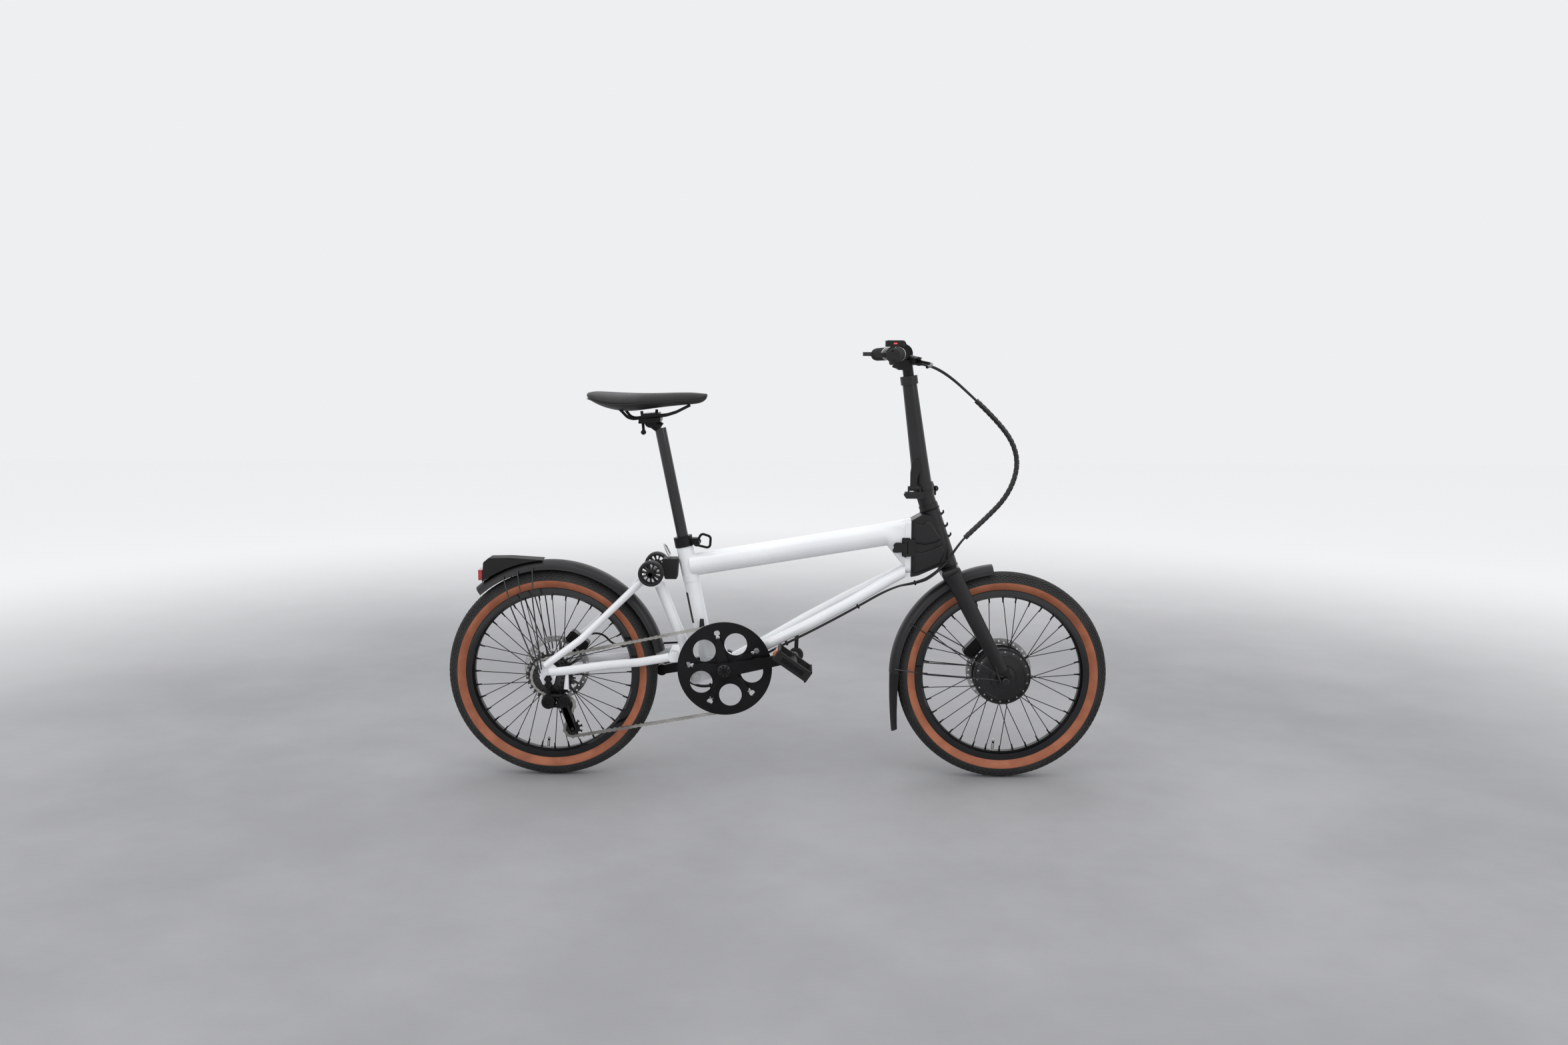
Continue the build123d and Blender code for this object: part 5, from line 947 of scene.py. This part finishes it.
for word, side in SIDES:
    plates = [shield(o, side, .0268, .0062, .0035) for o in (UPPER_SHIELD, LOWER_SHIELD)]
    piece("head_shields_" + word, *joined(*plates), satin_black, "front_frame", "fork_black",
          sharp=.45)
nose_clips = []
for share in (.12, .34, .52):
    spot = STEERER_TOP.lerp(STEERER_FOOT, share)
    front = spot + Vector((.0235, -.004, .008))
    nose_clips.append(tube([spot + Vector((.018, -.004, .004)), front, front + Vector((.0035, 0, .003)),
                            front + Vector((.0030, 0, .008))], [.0036, .0030, .0024, .0018], 10))
piece("hose_clips", *joined(*nose_clips), moulded, "front_frame", "trim_black")
for share, r in ((-.012, .0245), (1.012, .0242)):
    spot = STEERER_TOP.lerp(STEERER_FOOT, share)
    way = (STEERER_FOOT - STEERER_TOP).normalized() * .0022
    piece("head_race_" + ("top" if share < 0 else "low"), *band(spot, way, .6, r * .96, r, 40),
          anodised, "front_frame", "crank_black")

# ---------------------------------------------------------------- bar fittings
# A small power display, lock rings and end caps on the grips, all black plastic and alloy.
screen = Finish("display_glass", Metallic=0.0, Coat_Weight=1.0)
screen.set(Base_Color=screen.colour((.004, .004, .005), (.010, .011, .013), screen.noise(60.0)),
           Roughness=.06 + .08 * screen.noise(25.0, 5.0).step(.45, .7))
glow = Finish("power_light", Metallic=0.0, Emission_Strength=.5)
glow.set(Base_Color=glow.colour((.5, .02, .02), (.9, .06, .05), glow.noise(200.0)),
         Emission_Color=glow.colour((.8, .03, .02), (1.0, .25, .2), glow.noise(160.0)))


def bevelled_box(low, high, cut):
    """A box between two corners with its upper edges sloped in."""
    (x0, y0, z0), (x1, y1, z1) = low, high
    return skin([[Vector(p) for p in ((x0 + c, y0 + c, z), (x1 - c, y0 + c, z), (x1 - c, y1 - c, z),
                                      (x0 + c, y1 - c, z))]
                 for z, c in ((z0, 0.0), (z1 - cut, 0.0), (z1, cut))])


display_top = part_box("bar_controls")
panel_z = display_top[1].z
piece("display_screen", *bevelled_box((.2455, -.1645, panel_z - .002), (.2820, -.1395, panel_z + .0008),
                                      .0010), screen.material, "handlebars", "trim_black")
piece("display_light", *bevelled_box((.2600, -.1676, panel_z - .0080), (.2680, -.1660, panel_z - .0050),
                                     .0003), glow.material, "handlebars", "lens_red")


def bar_at(y):
    """The middle of the grip at a distance from the bicycle's middle plane."""
    share = (abs(y) - .140) / .160
    return Vector((.2936 - .018 - .025 * share, y, 1.0236 - .001 - .0031 * share))


GRIP_LOCK = ((.1700, .0128), (.1702, .0162), (.1768, .0162), (.1770, .0150), (.1795, .0150))
GRIP_RIB = ((0, .0152), (.0008, .0162), (.0026, .0162), (.0034, .0152))
GRIP_END = ((.3000, .0152), (.3034, .0156), (.3052, .0140), (.3054, .0090), (.3046, .0080))
RIB_FROM, RIB_STEP = .186, .0068
for word, side in SIDES:
    piece("grip_lock_" + word, *stepped(lambda y: bar_at(side * y), GRIP_LOCK, 28), silver,
          "handlebars", "hub_silver", sharp=.4)
    ribs = [stepped(lambda y: bar_at(side * (RIB_FROM + RIB_STEP * k + y)), GRIP_RIB, 24)
            for k in range(16)]
    piece("grip_ribs_" + word, *joined(*ribs), rubber, "handlebars", "grip_rubber")
    piece("grip_end_" + word, *stepped(lambda y: bar_at(side * y), GRIP_END, 28), moulded,
          "handlebars", "grip_rubber", sharp=.5)

# ---------------------------------------------------------------- small fixings
# Ties that hold the hoses under the down tube, and a guard strip behind the seat tube.
SEAT_TUBE_R = .0191


def seat_tube_x(z):
    """Where the seat tube's leaning axis stands at a height."""
    return -.2221 - .198 * (z - .563)


ties = []
TIE_SHARES = (20 / 120, 44 / 120, 66 / 120, 88 / 120, 100 / 120)
for share in TIE_SHARES:
    line = frame_lines[0]
    i = min(len(line) - 2, int(share * len(line)))
    p = (line[i] + frame_lines[1][min(i, len(frame_lines[1]) - 1)]) / 2
    way = (line[i + 1] - line[i]).normalized() * .0022
    ties.append(band(p, way, .8, .0052, .0062, 12))
piece("hose_ties", *joined(*ties), moulded, "rear_frame", "trim_black")
strip = []
for z in (.452, .430, .405, .378):
    strip.append([Vector((seat_tube_x(z) + (SEAT_TUBE_R + d) * math.cos(a),
                          (SEAT_TUBE_R + d) * math.sin(a), z))
                  for d, a in ((0, math.radians(196)), (.0012, math.radians(198)),
                               (.0012, math.radians(222)), (0, math.radians(224)))])
piece("seat_tube_guard", *skin(strip), moulded, "rear_frame", "trim_black")

# ---------------------------------------------------------------- derailleur
# Two round knuckles joined by short links carry a slim cage, whose two small toothed wheels
# keep the chain tight.
knuckles = []
for x, z, r, y_out in ((-.5420, .2385, .0090, -.0840), (-.5415, .1995, .0165, -.0880),
                       (-.5050, .2010, .0145, -.0850)):
    spot = Vector((x, 0, z))
    knuckles.append(lathe([(.0001, -.064), (r, -.064), (r, y_out + .0025), (r - .002, y_out),
                           (r * .45, y_out), (r * .42, y_out + .0022), (.0001, y_out + .0022)], spot, 32))
for low, high in (((-.5415, .2130), (-.5050, .2120)), ((-.5415, .1880), (-.5050, .1905)),
                  ((-.5425, .2385), (-.5415, .2050))):
    knuckles.append(tube([Vector((low[0], -.0760, low[1])), Vector((high[0], -.0760, high[1]))],
                         .0050, 12))
piece("derailleur_knuckles", *joined(*knuckles), anodised, "rear_triangle", "crank_black",
      ("derailleur_body",))
cage = []
for y in (-.0400, -.0545):
    for p, q, w0, w1 in ((guide_c, tension_c, .0085, .0095),
                         (Vector((-.5180, 0, .196)), tension_c, .0080, .0070)):
        way = (q - p).normalized()
        across = Vector((-way.z, 0, way.x))
        outline = []
        for spot, w, first in ((p, w0, 90), (q, w1, -90)):
            for k in range(9):
                a = math.radians(first + 180 * k / 8)
                outline.append(spot + w * (math.cos(a) * way + math.sin(a) * across))
        cage.append(skin([[v + Vector((0, y + dy, 0)) for v in outline] for dy in (-.001, .001)]))
for spot in (guide_c, tension_c):
    cage.append(lathe([(.0001, -.0570), (.0042, -.0570), (.0042, -.0385), (.0001, -.0385)], spot, 20))
piece("derailleur_arms", *joined(*cage), gloss_black, "chain_tensioner", "crank_black",
      ("derailleur_cage",))

# ---------------------------------------------------------------- chain guide
# A narrow plate beside the seat tube keeps the chain from jumping inward, on a thin clip. A
# rubber stop on a short stalk meets the folded half.
guide_z = .383
axis_x = seat_tube_x(guide_z)
clip = [tube([Vector((axis_x, 0, guide_z)) + Vector((dx * .001, 0, dz * .001)) for dx, dz in
              ((.79, -4), (.79, -4), (-.79, 4), (-.79, 4))], [.0196, .0204, .0204, .0196], 40)]
clip.append(tube([Vector((axis_x + .004, -.0180, guide_z)), Vector((axis_x + .006, -.0300, guide_z)),
                  Vector((axis_x + .008, -.0385, guide_z))], .0040, 10))
clip.append(skin([[Vector((x, y, z)) for x, z in
                   ((axis_x + .001, .370), (axis_x + .014, .371), (axis_x + .012, .394),
                    (axis_x + .003, .394))] for y in (-.0412, -.0385)]))
bump_x, bump_z = .046, .289
stalk_x, stalk_z = .04855, .369139
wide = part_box("guide_and_bumper")[1].y - .007
puck = [(r, wide + dy) for r, dy in
        ((.0001, -.0068), (.0150, -.0068), (.0178, -.0040), (.0178, .0040), (.0150, .0068),
         (.0060, .0068), (.0050, .0045), (.0001, .0045))]
clip.append(lathe(puck, Vector((bump_x, 0, bump_z)), 40))
clip.append(tube([Vector((stalk_x, wide, stalk_z - .010)), Vector((bump_x, wide, bump_z + .006))],
                 .0050, 14))
piece("guide_and_stop", *joined(*clip), moulded, "rear_frame", "trim_black", ("guide_and_bumper",))
